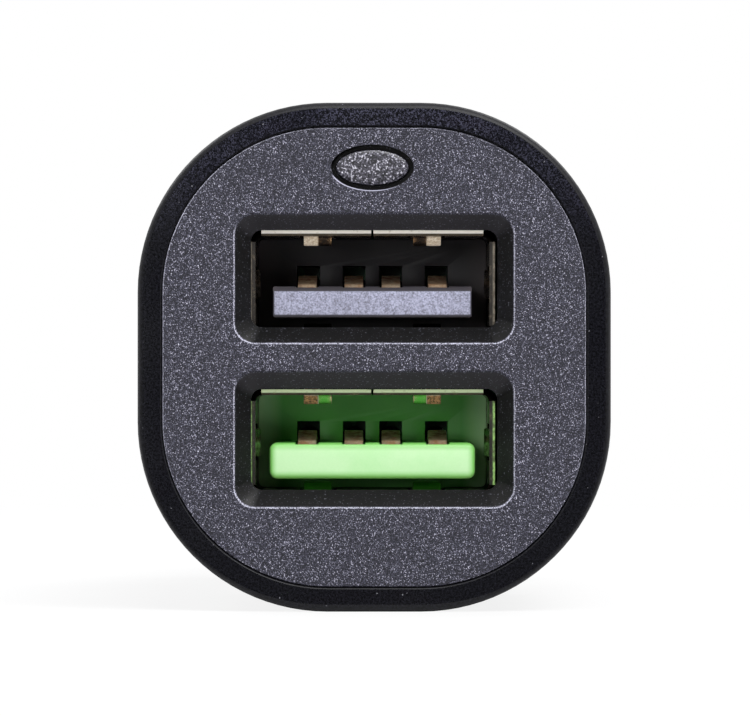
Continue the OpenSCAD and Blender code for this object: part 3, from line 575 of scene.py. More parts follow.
# Two steps round the front's edge
step_in(plate_round - 0.05, 0.05)
step_in(0.05, plate_round - 0.05)
close_shape(plate_piece)
cutters = []
for window_z, funnel_h, window_h in openings:
    wide = (funnel_w + 2 * past_face, funnel_h + 2 * past_face, funnel_corner_r, 0, window_z)
    narrow = (window_w, window_h, window_corner_r, 0, window_z)
    cutters.append(rounded_sheet("recess_cutter", *wide[:3], (0, plate_y_mm - past_face, window_z), 10))
    next_ring(plate_y_mm + funnel_depth, to_section(wide, narrow))
    push(3)
for shell_z in (upper_shell_z, lower_shell_z):
    cutters.append(rounded_sheet("pocket_cutter", pocket_w, pocket_h, 0.1, (ports_x, mouth_y, shell_z), 2))
    push(2)
for gap, y, depth in ((groove_gap, plate_y_mm - 0.2, 0.7), (light_gap, plate_y_mm, 4)):
    cutters.append(oval_ring("light_cutter", pipe_w / 2 + gap, pipe_h / 2 + gap, y))
    push(depth)
cut_away(plate_piece, cutters)

# The cuts leave the mesh in an order that varies from run to run, and this bevel would vary with it
in_fixed_order(plate_piece)
soften_edges(plate_piece, 0.07, 2, 35)

# A rib behind each long side holds the plate in the housing
rib_x, rib_t, rib_depth, rib_span = 10.02, 1.0, 3.0, 9.0
ribs = []
for side in (-1, 1):
    rib_back = (side * rib_x, plate_back_y_mm + rib_depth, 0)
    rib = rounded_sheet("plate_rib", rib_t, rib_span, 0.15, rib_back, 3)
    push(-rib_depth)
    close_shape(rib)
    ribs.append(rib)
join_into(plate_piece, ribs)
close_shape(plate_piece)
true_flats(plate_piece)
stand_for(plate_piece, "face_plate")

# %% [markdown]
# The light pipe is an oval of frosted clear plastic that stands in its own groove. It is turned from a
# circle that is made oval, and small steps give its front the slight crown that catches the light.

# %% Light pipe
stem_w, stem_h, stem_y = 3.24, 1.26, -13.5
flange_w, flange_h, flange_t, flange_y = 4.64, 1.86, 0.6, -27.25
pipe_y = -29.8


def on_oval(width, height):
    """A place rule: onto an oval around the light's middle, each point at its own angle."""
    def place(x, z):
        angle = math.atan2((z - light_z) / height, (x - ports_x) / width)
        return ports_x + width / 2 * math.cos(angle), light_z + height / 2 * math.sin(angle)
    return place


pipe_piece = oval_ring("light_pipe_moulding", stem_w / 2, stem_h / 2, stem_y)
for y, width, height in ((flange_y, stem_w, stem_h), (flange_y, flange_w, flange_h),
                         (flange_y - flange_t, flange_w, flange_h), (flange_y - flange_t, pipe_w, pipe_h),
                         (pipe_y + 0.12, pipe_w, pipe_h)):
    next_ring(y, on_oval(width, height))

# The crown: each step's share of the pipe's size, and how far it stays behind the middle
for share, depth in ((0.985, 0.07), (0.96, 0.045), (0.85, 0.03), (0.65, 0.015), (0.4, 0.005)):
    next_ring(pipe_y + depth, on_oval(share * pipe_w, share * pipe_h))
close_shape(pipe_piece, 40)
stand_for(pipe_piece, "light_pipe")


# %% [markdown]
# A bent strip comes up many times here: the spring fingers of the shells, the contacts in the ports and the
# side contacts. It starts as a plane between the first two points of its path, its end is extruded along
# the rest, and Solidify and Bevel give it the sheet's thickness and its sheared edges.

# %% Bent strips and copies
def bent_strip(name, path, across, width, thickness, edge):
    """A strip of sheet along a path of (x, y, z), its middle line, with its width along a unit vector."""
    deselect_all()
    bpy.ops.mesh.primitive_plane_add(size=1 * mm, location=(0, 0, 0))
    piece = bpy.context.object
    piece.name = name
    across = Vector(across) * (width / 2)
    line = [Vector(point) for point in path]
    corners = [line[0] - across, line[0] + across, line[1] - across, line[1] + across]
    bpy.ops.object.mode_set(mode="EDIT")
    mesh = bmesh.from_edit_mesh(piece.data)
    for point, corner in zip(sorted(mesh.verts, key=lambda v: (round(v.co.y, 6), v.co.x)), corners):
        point.co = corner * mm
    bmesh.update_edit_mesh(piece.data)

    def at_end(point):
        return any((point.co - corner * mm).length < 1e-7 for corner in corners[2:])

    select_where("edges", lambda edge: all(at_end(point) for point in edge.verts))
    for here, there in zip(line[1:], line[2:]):
        bpy.ops.mesh.extrude_region_move(TRANSFORM_OT_translate={"value": (there - here) * mm})
    close_shape(piece)
    apply_modifier(piece, "SOLIDIFY", thickness=thickness * mm, offset=0, use_even_offset=True)
    soften_edges(piece, edge, 2, 40)
    close_shape(piece, 35)
    return piece


def copy_of(piece, name, shift):
    """A copy of a piece with its own mesh, moved by a shift in mm."""
    twin = piece.copy()
    twin.data = piece.data.copy()
    twin.name = name
    bpy.context.scene.collection.objects.link(twin)
    only(twin)
    bpy.ops.object.mode_set(mode="EDIT")
    bpy.ops.mesh.select_all(action="SELECT")
    bpy.ops.transform.translate(value=[s * mm for s in shift])
    bpy.ops.object.mode_set(mode="OBJECT")
    return twin


# %% [markdown]
# Each port's shell is one strip of nickel-plated steel folded into a box, so it has a seam down the middle
# of its top, a relief notch at each corner of its mouth, and fingers pressed out of its walls that grip the
# plug. The walls are a tube of sheet, the reliefs are cut from it and the fingers are bent strips.

# %% Port shells: walls and reliefs
sheet_t, shell_in_w, shell_in_h, shell_len = 0.3, 12.5, 5.12, 13.7
seam_w, notch_w, notch_len = 0.12, 0.62, 2.6
finger_x, finger_w, finger_len, finger_start = 2.93, 1.5, 5.4, 1.2
window_start, window_gap = 0.95, 0.25

wall_w, wall_h = shell_in_w + sheet_t, shell_in_h + sheet_t
upper_shell = rounded_sheet("upper_port_shell_sheet", wall_w, wall_h, 0.45,
                            (ports_x, mouth_y + shell_len, upper_shell_z), 5)
push(-shell_len)
select_where("faces", lambda face: len(face.verts) > 10)
bpy.ops.mesh.delete(type="ONLY_FACE")
close_shape(upper_shell)
apply_modifier(upper_shell, "SOLIDIFY", thickness=sheet_t * mm, offset=0, use_even_offset=True)


def relief(width, height, x, z, front, back):
    """A block to cut out of the shell, from a front to a back station behind its mouth."""
    centre = (ports_x + x, mouth_y + front, upper_shell_z + z)
    cutter = rounded_sheet("relief_cutter", width, height, 0.05, centre, 2)
    push(back - front)
    return cutter


finger_window = finger_w + 2 * window_gap
window_end = finger_start + finger_len
corner_x, corner_z = shell_in_w / 2 + sheet_t, shell_in_h / 2 + sheet_t
reliefs = [relief(seam_w, 1, 0, wall_h / 2, -1, shell_len + 1)]
for side in (-1, 1):
    for face in (-1, 1):
        reliefs.append(relief(2 * notch_w, 2 * notch_w, side * corner_x, face * corner_z, -1, notch_len))
        reliefs.append(relief(finger_window, 1, side * finger_x, face * wall_h / 2, window_start, window_end))
    reliefs.append(relief(1, finger_window, side * wall_w / 2, 0, window_start, window_end))
cut_away(upper_shell, reliefs)
soften_edges(upper_shell, 0.07, 3, 40)
close_shape(upper_shell, 40)

# %% Port shells: fingers
# A finger's free end ramps up steeply towards a plug and then falls back slowly to the wall. Each point of
# the ramp is its distance behind the free end and its dip, in mm. The fingers below the plug dip a little
# less than the ones above it, and those in the side walls half as much.
ramp = ((0, 0), (0.1, 0.04), (0.24, 0.16), (0.44, 0.38), (0.58, 0.48), (0.74, 0.5), (1.6, 0.48),
        (2.6, 0.38), (3.6, 0.24), (4.6, 0.1), (5.4, 0))
finger_seat, finger_t = 0.03, 0.24
fingers = []
for x, z, across, factor in ((-finger_x, 1, (1, 0, 0), 1.0), (finger_x, 1, (1, 0, 0), 1.0),
                             (-finger_x, -1, (1, 0, 0), 0.9), (finger_x, -1, (1, 0, 0), 0.9),
                             (-1, 0, (0, 0, 1), 0.5), (1, 0, (0, 0, 1), 0.5)):
    path = []
    for back, dip in ramp:
        y = mouth_y + finger_start + back
        inwards = finger_seat + dip * factor
        if z:
            path.append((ports_x + x, y, upper_shell_z + z * (wall_h / 2 - inwards)))
        else:
            path.append((ports_x + x * (wall_w / 2 - inwards), y, upper_shell_z))
    fingers.append(bent_strip("spring_finger", path, across, finger_w, finger_t, 0.05))
join_into(upper_shell, fingers)
stand_for(upper_shell, "upper_port_shell")
lower_shell = copy_of(upper_shell, "lower_port_shell_sheet", (0, 0, lower_shell_z - upper_shell_z))
stand_for(lower_shell, "lower_port_shell")
print("each shell has", len(upper_shell.data.polygons), "faces")

# %% [markdown]
# Behind each mouth stands a tongue that is one moulding with the block that closes the shell. The upper one
# is dark with crisp edges and the lower one is green with rounder ones. The block's face is stepped in to
# the tongue's section and pushed forwards, a bisect takes the long bevel off the upper one's top, and the
# grooves and holes for the contacts are cut last.

# %% Tongues
tongue_front_y, block_front_y, block_back_y = mouth_y + 0.8, mouth_y + 9.2, mouth_y + 13.5
block_w, block_h, block_corner_r = 12.44, 5.06, 0.3
tongue_drop = 0.96
upper_tongue_w, upper_tongue_t, lower_tongue_w, lower_tongue_t = 10.65, 1.66, 11.0, 1.92
contact_x = (-3.5, -1, 1, 3.5)
groove_w, groove_deep, groove_len, groove_top = 1.25, 0.12, 14, 1.08
pocket_y, pocket_deep, pocket_len = mouth_y + 1.15, 0.57, 1.1


def tongue(name, shell_z, width, thick, edge_r, bevel, front_round, groove_y):
    """A tongue with its block. Either a bevel runs along its top front edge, or its front is rounded more."""
    centre_z = shell_z - tongue_drop
    high = centre_z + thick / 2
    block = (block_w, block_h, block_corner_r, ports_x, shell_z)
    section = (width, thick, edge_r, ports_x, centre_z)
    piece = rounded_sheet(name, *block[:3], (ports_x, block_back_y, shell_z), 5)
    push(block_front_y - block_back_y)
    next_ring(block_front_y, to_section(block, section))
    push(tongue_front_y + front_round - block_front_y)
    round_over(front_round, 4)
    if bevel:
        bpy.ops.mesh.select_all(action="SELECT")
        bpy.ops.mesh.bisect(plane_co=(0, (tongue_front_y + bevel) * mm, high * mm), plane_no=(0, -1, 1),
                            clear_outer=True, use_fill=True)
    close_shape(piece)
    cutters = []
    top = shell_z + groove_top
    for x in contact_x:
        for deep, y, length in ((groove_deep, groove_y, groove_len), (pocket_deep, pocket_y, pocket_len)):
            low = high - deep
            centre = (ports_x + x, y, (top + low) / 2)
            cutters.append(rounded_sheet("groove_cutter", groove_w, top - low, 0.04, centre, 2))
            push(length)
    cut_away(piece, cutters)
    soften_edges(piece, 0.035, 2, 28)
    close_shape(piece, 30)
    return piece


upper_tongue = tongue("upper_tongue_moulding", upper_shell_z, upper_tongue_w, upper_tongue_t, 0.1, 0.3, 0.06,
                      mouth_y + 1.05)
stand_for(upper_tongue, "upper_port_tongue")
lower_tongue = tongue("lower_tongue_moulding", lower_shell_z, lower_tongue_w, lower_tongue_t, 0.4, 0, 0.26,
                      mouth_y + 0.87)
stand_for(lower_tongue, "lower_port_tongue")

# %% [markdown]
# Four contacts run in each tongue's grooves. Each is a narrow strip of plated copper alloy that arches up
# out of its groove and is tucked into a pocket at the front, so that a plug can't catch its end.

# %% Port contacts
contact_names = ("power", "data_minus", "data_plus", "ground")
contact_w, contact_t, contact_seat, contact_rise = 1.0, 0.24, 0.125, 0.5
arch_back, arch_len, arch_steps = 8.9, 6.95, 14
tongues = (("upper", upper_shell_z, upper_tongue_t), ("lower", lower_shell_z, lower_tongue_t))
contact_strips = []
for port, shell_z, thick in tongues:
    seat = shell_z - tongue_drop + thick / 2 - groove_deep + contact_seat
    path = [(0, mouth_y + 15.75, seat), (0, mouth_y + 12, seat)]
    for s in [i / arch_steps for i in range(arch_steps + 1)]:
        rise = contact_rise * math.sin(math.pi * s) ** 2
        path.append((0, mouth_y + arch_back - arch_len * s, seat + rise))
    path += [(0, mouth_y + 1.6, seat - 0.38), (0, mouth_y + 1.3, seat - 0.4)]
    master = bent_strip("contact_strip", path, (1, 0, 0), contact_w, contact_t, 0.04)
    for x, contact in zip(contact_x, contact_names):
        strip = copy_of(master, f"{port}_{contact}_strip", (ports_x + x, 0, 0))
        stand_for(strip, f"{port}_{contact}_contact")
        contact_strips.append(strip)
    bpy.data.objects.remove(master)
print(len(contact_strips), "contacts in two ports")

# %% [markdown]
# The side contacts carry the ground. Each is a bowed strip of plated spring steel that stands out of a slot
# in the barrel and gives way as the plug goes into its socket. Its front foot is soldered to the board.

# %% Side contacts
leaf_t, leaf_w, leaf_seat, leaf_rise = 0.35, 5.0, 7.519, 3.631
leaf_start_y, leaf_end_y, bow_y, bow_len, bow_steps = 6, 21.2, 7.6, 12, 24
foot_y, foot_z, foot_x, foot_w, foot_t = 6.7, 0.805, (5.73, 7.7), 1.4, 0.34
side_strips = []
for side, name in ((-1, "left_side_contact"), (1, "right_side_contact")):
    flat_x = leaf_seat + leaf_t / 2
    path = [(side * flat_x, leaf_start_y, 0)]
    for s in [i / bow_steps for i in range(bow_steps + 1)]:
        path.append((side * (flat_x + leaf_rise * math.sin(math.pi * s) ** 2), bow_y + bow_len * s, 0))
    path.append((side * flat_x, leaf_end_y, 0))
    leaf = bent_strip(name + "_strip", path, (0, 0, 1), leaf_w, leaf_t - 0.01, 0.07)
    foot_path = [(side * x, foot_y, foot_z) for x in foot_x]
    join_into(leaf, [bent_strip("solder_foot", foot_path, (0, 1, 0), foot_w, foot_t, 0.05)])
    stand_for(leaf, name, body=name)
    side_strips.append(leaf)

# %% [markdown]
# The nose is turned on the plug's axis: a screw-in cap with a notched grip, and the hollow contact that its
# spring pushes out. Rings give both their outline, and in the grip each ring's radius follows the notches.

# %% Nose cap
cap_end_y, cap_seat_y, stem_end_y = 33.5, 31.5, 22.5
cap_hole_r, cap_bore_r, cap_stem_r, grip_r = 3.6, 4.9, 7.3, 9.0
notch_count, notch_depth, notch_from = 24, 0.25, 0.55


def notched(radius):
    """A place rule: on one radius, with round notches cut into it where a wave around it is high."""
    def place(x, z):
        wave = math.cos(notch_count * math.atan2(z, x))
        notch = notch_depth * max(0.0, (wave - notch_from) / (1 - notch_from))
        return on_radius(radius - notch)(x, z)
    return place


cap_piece = ring("nose_cap_moulding", cap_hole_r, cap_end_y, points=240)
turn((cap_end_y, 5.45), (33.43, 5.6), (32.9, 6.2), (31.6, 7.78))
for y, radius in ((30.7, 8.88), (30.55, grip_r), (28.75, grip_r)):
    next_ring(y, notched(radius))
turn((28.6, grip_r), (28.1, grip_r), (28.02, 8.9), (barrel_end_y, 8.7), (barrel_end_y, cap_stem_r),
     (22.8, cap_stem_r), (stem_end_y, 7.0), (stem_end_y, cap_bore_r), (cap_seat_y, cap_bore_r),
     (cap_seat_y, cap_hole_r), (cap_end_y, cap_hole_r))
close_shape(cap_piece, 30)
stand_for(cap_piece, "nose_cap")

# %% Centre contact
tip_end_y, tip_flat_r, tip_round, tip_r = 36.5, 1.9, 1.6, 3.5
tip_flange_r, tip_back_y, tip_bore_r, tip_bore_end_y = 4.7, 29.7, 2.8, 35.5

tip_piece = ring("centre_contact_cup", tip_flat_r, tip_end_y, filled=True)
select_where("edges", lambda edge: edge.is_boundary)
for a in [math.radians(degrees) for degrees in (22.5, 45, 67.5, 90)]:
    turn((tip_end_y - tip_round * (1 - math.cos(a)), tip_flat_r + tip_round * math.sin(a)))
turn((34.4, tip_r), (cap_seat_y, tip_r), (cap_seat_y, 4.55), (31.35, tip_flange_r), (29.85, tip_flange_r),
     (tip_back_y, 4.55), (tip_back_y, tip_bore_r), (tip_bore_end_y, tip_bore_r))
bpy.ops.mesh.edge_face_add()
close_shape(tip_piece, 30)
stand_for(tip_piece, "centre_contact", body="centre_contact")

# %% [markdown]
# The spring is a circle of wire that a Screw modifier winds up into ten turns. It stays on the plug.

# %% Contact spring
spring_low, spring_high, spring_turns, wire_r, coil_r = 16.14, 35.46, 10, 0.3, 2.4
spring_len = spring_high - spring_low

deselect_all()
bpy.ops.mesh.primitive_circle_add(vertices=10, radius=wire_r * mm, fill_type="NOTHING",
                                  location=(coil_r * mm, (spring_low + wire_r) * mm, 0))
spring_piece = start("contact_spring_wire", "EDGE")
pitch = (spring_len - 2 * wire_r) / spring_turns
apply_modifier(spring_piece, "SCREW", axis="Y", angle=math.radians(360), screw_offset=pitch * mm,
               iterations=spring_turns, steps=28, render_steps=28, use_merge_vertices=False)
only(spring_piece)
bpy.ops.object.mode_set(mode="EDIT")
select_where("edges", lambda edge: edge.is_boundary)
bpy.ops.mesh.edge_face_add()
close_shape(spring_piece, 50)
stand_for(spring_piece, "contact_spring")
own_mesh(spring_piece)


# %% [markdown]
# Every finish is built from what the real surface is. Most of them are a colour, a roughness and a fine
# relief whose grain has a size in millimetres. A few patterns are enough for them: a grain of a given size,
# fixed to the piece, the place along an axis, and the way that the surface faces. A zone marks where such
# patterns are inside a range, and colours are laid over each other by zones, as coats of paint are.

# %% Patterns
def grain(tree, size_mm, detail=2.0, stretch=(1, 1, 1), rough=0.5):
    """A noise from 0 to 1 whose grains measure about size_mm, and are longer where stretch is small."""
    place = add_node(tree, "TexCoord", output="Object")
    stretched = add_node(tree, "Mapping", {"Vector": place, "Scale": stretch})
    return add_node(tree, "TexNoise", {"Vector": stretched, "Scale": 1 / (size_mm * mm), "Detail": detail,
                                       "Roughness": rough})


def along(tree, axis):
    """The place on the object along one axis, in mm."""
    place = add_node(tree, "TexCoord", output="Object")
    metres = add_node(tree, "SeparateXYZ", {0: place}, axis)
    return add_node(tree, "Math", {"operation": "MULTIPLY", 0: metres, 1: 1 / mm})


def facing(tree, axis):
    """How far the surface faces along one axis, from -1 to 1."""
    normal = add_node(tree, "NewGeometry", output="Normal")
    return add_node(tree, "SeparateXYZ", {0: normal}, axis)


def away_from(tree, value, middle):
    """How far a value is from a middle value, to either side."""
    shifted = add_node(tree, "Math", {"operation": "SUBTRACT", 0: value, 1: middle})
    return add_node(tree, "Math", {"operation": "ABSOLUTE", 0: shifted})


# %% Zones, coats and the shader's sockets
def zone(tree, *ranges, low=0.0, high=1.0):
    """Marks a zone: low up to the first number of a pattern's range, and high past the second one.

    Several ranges narrow the zone in turn, and high may be another zone, which it then stays within.
    """
    for pattern, outside, inside in ranges:
        high = add_node(tree, "MapRange", {"Value": pattern, "From Min": outside, "From Max": inside,
                                           "To Min": low, "To Max": high})
    return high


def painted(tree, colour, *coats):
    """A colour with coats over it. Each coat is its zone and its colour, and a colour may be a pattern."""
    for share, coat in coats:
        colour = add_node(tree, "Mix", {"data_type": "RGBA", 0: share, 6: colour, 7: coat}, output=2)
    return colour


def surface(tree, colour, roughness=None, metallic=None, relief=None):
    """Feeds patterns to the shader. Relief is a pattern, its depth in mm and its strength."""
    fed = {"Base Color": colour, "Roughness": roughness, "Metallic": metallic}
    if relief:
        height, depth_mm, strength = relief
        fed["Normal"] = add_node(tree, "Bump", {"Height": height, "Distance": depth_mm * mm,
                                                "Strength": strength})
    for socket, pattern in fed.items():
        if pattern is not None:
            tree.links.new(pattern, tree.nodes["Principled BSDF"].inputs[socket])


# %% [markdown]
# The housing is black ABS out of a polished mould. Gloss black is almost only reflection, so its own colour
# is very dark and its look comes from a low roughness that varies a little: handling has left a haze of
# fine scratches, a tenth of a millimetre apart, and some specks of dust.

# %% Housing: gloss black ABS, moulded
abs_ior = 1.5
tree = new_material("black_abs_polished_mould", [housing_piece], "#141418", 0.24, ior=abs_ior,
                    specular=0.22)
haze = grain(tree, 0.12, detail=3, rough=0.7)
patches = grain(tree, 4.0, detail=3)
y, forwards = along(tree, "Y"), facing(tree, "Y")

# The top of the rim's front is painted a fine grey grain, partly a scuff and partly a painted sheen from the
# light above
rim_scuff_and_painted_sheen = zone(tree, (patches, 0.3, 0.55), low=0.45)
rim_scuff_and_painted_sheen = zone(tree, (along(tree, "Z"), 6, 12.3), (y, rim_y_mm + 0.12, rim_y_mm + 0.04),
               (forwards, -0.96, -0.99), (grain(tree, 0.07, detail=1), 0.48, 0.66), high=rim_scuff_and_painted_sheen)
scratched = zone(tree, (haze, 0.4, 0.75))
dust = zone(tree, (grain(tree, 0.16, detail=0), 0.86, 0.9))
colour = painted(tree, "#08080a", (scratched, "#1d1d24"), (rim_scuff_and_painted_sheen, "#40404f"), (dust, "#6a6a70"))

# Hands have rubbed the rim's rounded edge matt
handling = add_node(tree, "Math", {"operation": "MULTIPLY", 0: haze, 1: patches})
polish = zone(tree, (handling, 0.12, 0.42), low=0.1, high=0.26)
matt_edge = zone(tree, (y, rim_y_mm + 0.46, rim_y_mm + 0.38), (forwards, -0.985, -0.95), high=0.45)
roughness = add_node(tree, "Math", {"operation": "MAXIMUM", 0: polish, 1: matt_edge})
surface(tree, colour, roughness, relief=(haze, 0.004, 0.5))

# %% [markdown]
# The face plate is the same black ABS out of a spark-eroded mould. The erosion leaves craters about
# 0.06 mm across, and the front is painted dark grey with light speckles, painted glints of the craters'
# rims. Its recesses come from a polished insert, so they are smoother and darker, and their faces that point
# up or sideways are painted darker still, a painted shade, while those that point down are painted paler,
# as painted light from below. The place along the plug tells the front from the recesses.

# %% Face plate: spark-eroded ABS with polished recesses
tree = new_material("black_abs_spark_eroded", [plate_piece], "#50505c", 0.6, ior=abs_ior, specular=0.3)
craters = grain(tree, 0.058, detail=1)
broad = grain(tree, 1.6, detail=2)
y, z, upwards = along(tree, "Y"), along(tree, "Z"), facing(tree, "Z")

# Curved edges at the front are painted paler, a painted highlight, apart from the ones that face down
front_edge_painted_highlight = zone(tree, (facing(tree, "Y"), -0.985, -0.93), (y, plate_y_mm + 0.09, plate_y_mm + 0.07),
              (upwards, -0.35, 0.05), (craters, 0.35, 0.6))

# The lower left edge of the light pipe's groove, an oval around the light's middle, gets a painted highlight
# too
oval_x, oval_z = 2.2, 1.21
place = add_node(tree, "TexCoord", output="Object")
centred = add_node(tree, "Mapping", {"Vector": place, "Location": (-ports_x / oval_x, 0, -light_z / oval_z),
                                     "Scale": (1 / mm / oval_x, 0, 1 / mm / oval_z)})
oval = add_node(tree, "VectorMath", {"operation": "LENGTH", 0: centred}, "Value")
groove_edge_painted_highlight = zone(tree, (away_from(tree, oval, 1.015), 0.035, 0.015), (z, light_z - 0.35, light_z - 0.6),
                   (along(tree, "X"), 1.4, 0.2))
# Over the grey grain the palest crater specks are painted glints
eroded = painted(tree, "#17171d", (zone(tree, (craters, 0.4, 0.66)), "#494959"),
                 (zone(tree, (craters, 0.63, 0.8)), "#e4e2f4"),
                 (zone(tree, (broad, 0.3, 0.7), high=0.25), "#24242b"),
                 (front_edge_painted_highlight, "#c4c4d6"), (groove_edge_painted_highlight, "#b4b4c8"))

# The recesses are painted palest above, where they face down, as painted light from below, and darker where
# they face up or sideways, a painted shade; they also hold some dust
dust = zone(tree, (grain(tree, 0.08, detail=0), 0.7, 0.8), high=0.8)
recess_colour_painted_shade = painted(tree, "#29282b", (zone(tree, (upwards, -0.45, -0.1)), "#070708"), (dust, "#5a5a64"))
behind_front = (y, plate_y_mm + 0.06, plate_y_mm + 0.14)
surface(tree, painted(tree, eroded, (zone(tree, behind_front), recess_colour_painted_shade)),
        zone(tree, behind_front, low=0.66, high=0.32), relief=(craters, 0.015, 0.5))

# %% [markdown]
# The light pipe is clear polycarbonate with a frosted front that spreads the lamp's light. Unlit it looks
# grey, and its frosting, a tenth of a millimetre across, is painted with white specks, painted glints.

# %% Light pipe: frosted polycarbonate
tree = new_material("polycarbonate_frosted", [pipe_piece], "#64626f", 0.4, ior=1.58)
frost = grain(tree, 0.095, detail=1)
# The palest specks of the frost are painted glints
colour = painted(tree, "#121117", (zone(tree, (frost, 0.38, 0.64)), "#54525f"),
                 (zone(tree, (frost, 0.6, 0.82)), "#ecebf6"))
surface(tree, colour, relief=(frost, 0.03, 0.6))


# %% [markdown]
# Both tongues are moulded nylon. Their front faces are matt from the mould's texture and painted pale, a
# painted sheen, while the rest is smooth: black in the upper port, and a strong green in the lower one. The
# front face is told from the rest by its place along the plug, and at its edges, where the painted sheen
# stops, the body's colour comes back. The block behind the tongue is painted a little paler at its sides,
# as painted light that comes in through the relief windows.

# %% Tongues: moulded nylon, black and green
def dress_tongue(piece, name, colours, size, margins, fade, front_depth, roughness, front_grain):
    """Dresses a tongue in nylon with a front painted paler, a painted sheen.

    Colours are those of the body, its ends, painted paler as painted light, its front's painted sheen and
    its edge line. Size is the shell's height, and the tongue's width and thickness. The edge line, where the
    painted sheen stops, is as wide as the margins at the sides, the top and the bottom, and fades into the
    front.
    """
    body, ends, front, edge_line = colours
    shell_z, width, thick = size
    side, top, bottom = width / 2 - margins[0], thick / 2 - margins[1], margins[2] - thick / 2
    middle = shell_z - tongue_drop
    tree = new_material(name, [piece], body, roughness, ior=1.53)
    texture = grain(tree, 0.085, detail=2, rough=0.6)
    clouds = grain(tree, 1.5, detail=2)
    aside, z = away_from(tree, along(tree, "X"), ports_x), along(tree, "Z")
    inside = zone(tree, (aside, side, side - fade), (z, middle + top, middle + top - fade),
                  (z, middle + bottom, middle + bottom + fade))
    # The front is painted pale, a painted sheen, with the body's colour showing through its grain
    tongue_front_painted_sheen = painted(tree, front, (zone(tree, (texture, 0.35, 0.68), high=front_grain), body),
                   (zone(tree, (clouds, 0.4, 0.7), high=0.15), body))
    front_y = tongue_front_y + front_depth
    is_front = zone(tree, (along(tree, "Y"), front_y + 0.06, front_y))
    # The block's ends are painted paler, as painted light through the relief windows
    colour = painted(tree, body, (zone(tree, (aside, 4.9, 6.1)), ends),
                     (is_front, painted(tree, edge_line, (inside, tongue_front_painted_sheen))))
    surface(tree, colour, relief=(texture, 0.012, 0.5))


# Each tongue's front colour is a painted sheen, and its ends' colour is painted light
dress_tongue(upper_tongue, "nylon_black_painted_sheen_front", ("#302d33", "#423a3e", "#abadc5", "#2e2c35"),
             (upper_shell_z, upper_tongue_w, upper_tongue_t), margins=(0.05, 0.0, 0.12), fade=0.06,
             front_depth=0.01, roughness=0.5, front_grain=0.7)
dress_tongue(lower_tongue, "nylon_green", ("#5dcb4a", "#b4f0a4", "#b9e0ac", "#78bf5e"),
             (lower_shell_z, lower_tongue_w, lower_tongue_t), margins=(0.08, 0.12, 0.1), fade=0.32,
             front_depth=0.26, roughness=0.45, front_grain=0.06)

# %% [markdown]
# The shells are cold-rolled steel with a thin nickel plating. They keep fine rolling lines along the sheet
# and are stained brown in places. The sheared edge at the mouth and the fingers' outer halves, which the
# press tool has rubbed, are rough, and in places painted pale as painted highlights and painted light. The
# fingers' inner halves are as smooth as a mirror, and painted with the port's reflection.

# %% Shells: nickel-plated steel sheet, and where its parts are
tree = new_material("nickel_plated_sheet", [upper_shell, lower_shell], "#cfc8ba", 0.34, metallic=1.0)
lines = grain(tree, 0.12, detail=3, stretch=(1, 0.15, 1))
stain = grain(tree, 0.3, detail=4, rough=0.65)
y, z = along(tree, "Y"), along(tree, "Z")
aside = away_from(tree, along(tree, "X"), ports_x)
ports_middle = (upper_shell_z + lower_shell_z) / 2
off_port = away_from(tree, away_from(tree, z, ports_middle), (upper_shell_z - lower_shell_z) / 2)
is_upper = zone(tree, (z, ports_middle - 0.1, ports_middle + 0.1))
shell_middle = zone(tree, (is_upper, 0, 1), low=lower_shell_z, high=upper_shell_z)
above = add_node(tree, "Math", {"operation": "SUBTRACT", 0: z, 1: shell_middle})

# %% Shells: the sheared edges
# Inside the port, such as at the ends of the notches, they are painted dark, a painted shade
deep_edges_painted_shade = zone(tree, (facing(tree, "Y"), -0.86, -0.93), (y, mouth_y + 0.6, mouth_y + 0.8))
corner = zone(tree, (aside, 5.75, 5.9), (off_port, 2.05, 2.2), (y, mouth_y + 0.5, mouth_y + 1.5))
painted_shade_in_port = add_node(tree, "Math", {"operation": "MAXIMUM", 0: deep_edges_painted_shade, 1: corner})
plated = painted(tree, "#d8d2c5", (zone(tree, (stain, 0.4, 0.62)), "#6e6250"), (painted_shade_in_port, "#1c1813"))

# At the mouth they are painted pale above and below, a painted highlight, and darker towards the inside and
# on the sides, with some stains
on_edge = zone(tree, (y, mouth_y + 0.12, mouth_y + 0.02))
pale_from, side_from = shell_in_h / 2 + 0.1, shell_in_w / 2 + 0.15
mouth_edge_painted_highlight = painted(tree, "#3a3020", (zone(tree, (off_port, pale_from, pale_from + 0.05)), "#fbf6ea"))
# The side edges' outer line is painted green in the lower port, a painted reflection of its tongue, and grey
# in the upper one
outer_side_painted_reflection = painted(tree, "#b6d492", (is_upper, "#7d7567"))
side_edge = painted(tree, "#1d1914", (zone(tree, (aside, side_from, side_from + 0.08)), outer_side_painted_reflection),
                    (zone(tree, (stain, 0.4, 0.6), high=0.8), "#2b2620"))
edge = painted(tree, mouth_edge_painted_highlight, (zone(tree, (aside, 6.0, 6.1)), side_edge),
               (zone(tree, (stain, 0.55, 0.72), high=0.4), "#8a7a62"))

# Next to the green tongue everything bright is painted with a green cast, a painted reflection of the tongue
painted_green_reflection = add_node(tree, "Mix", {"data_type": "RGBA", "blend_type": "MULTIPLY", 0: 1.0, 6: edge,
                                    7: "#d6edc6"}, output=2)
edge = painted(tree, painted_green_reflection, (is_upper, edge))

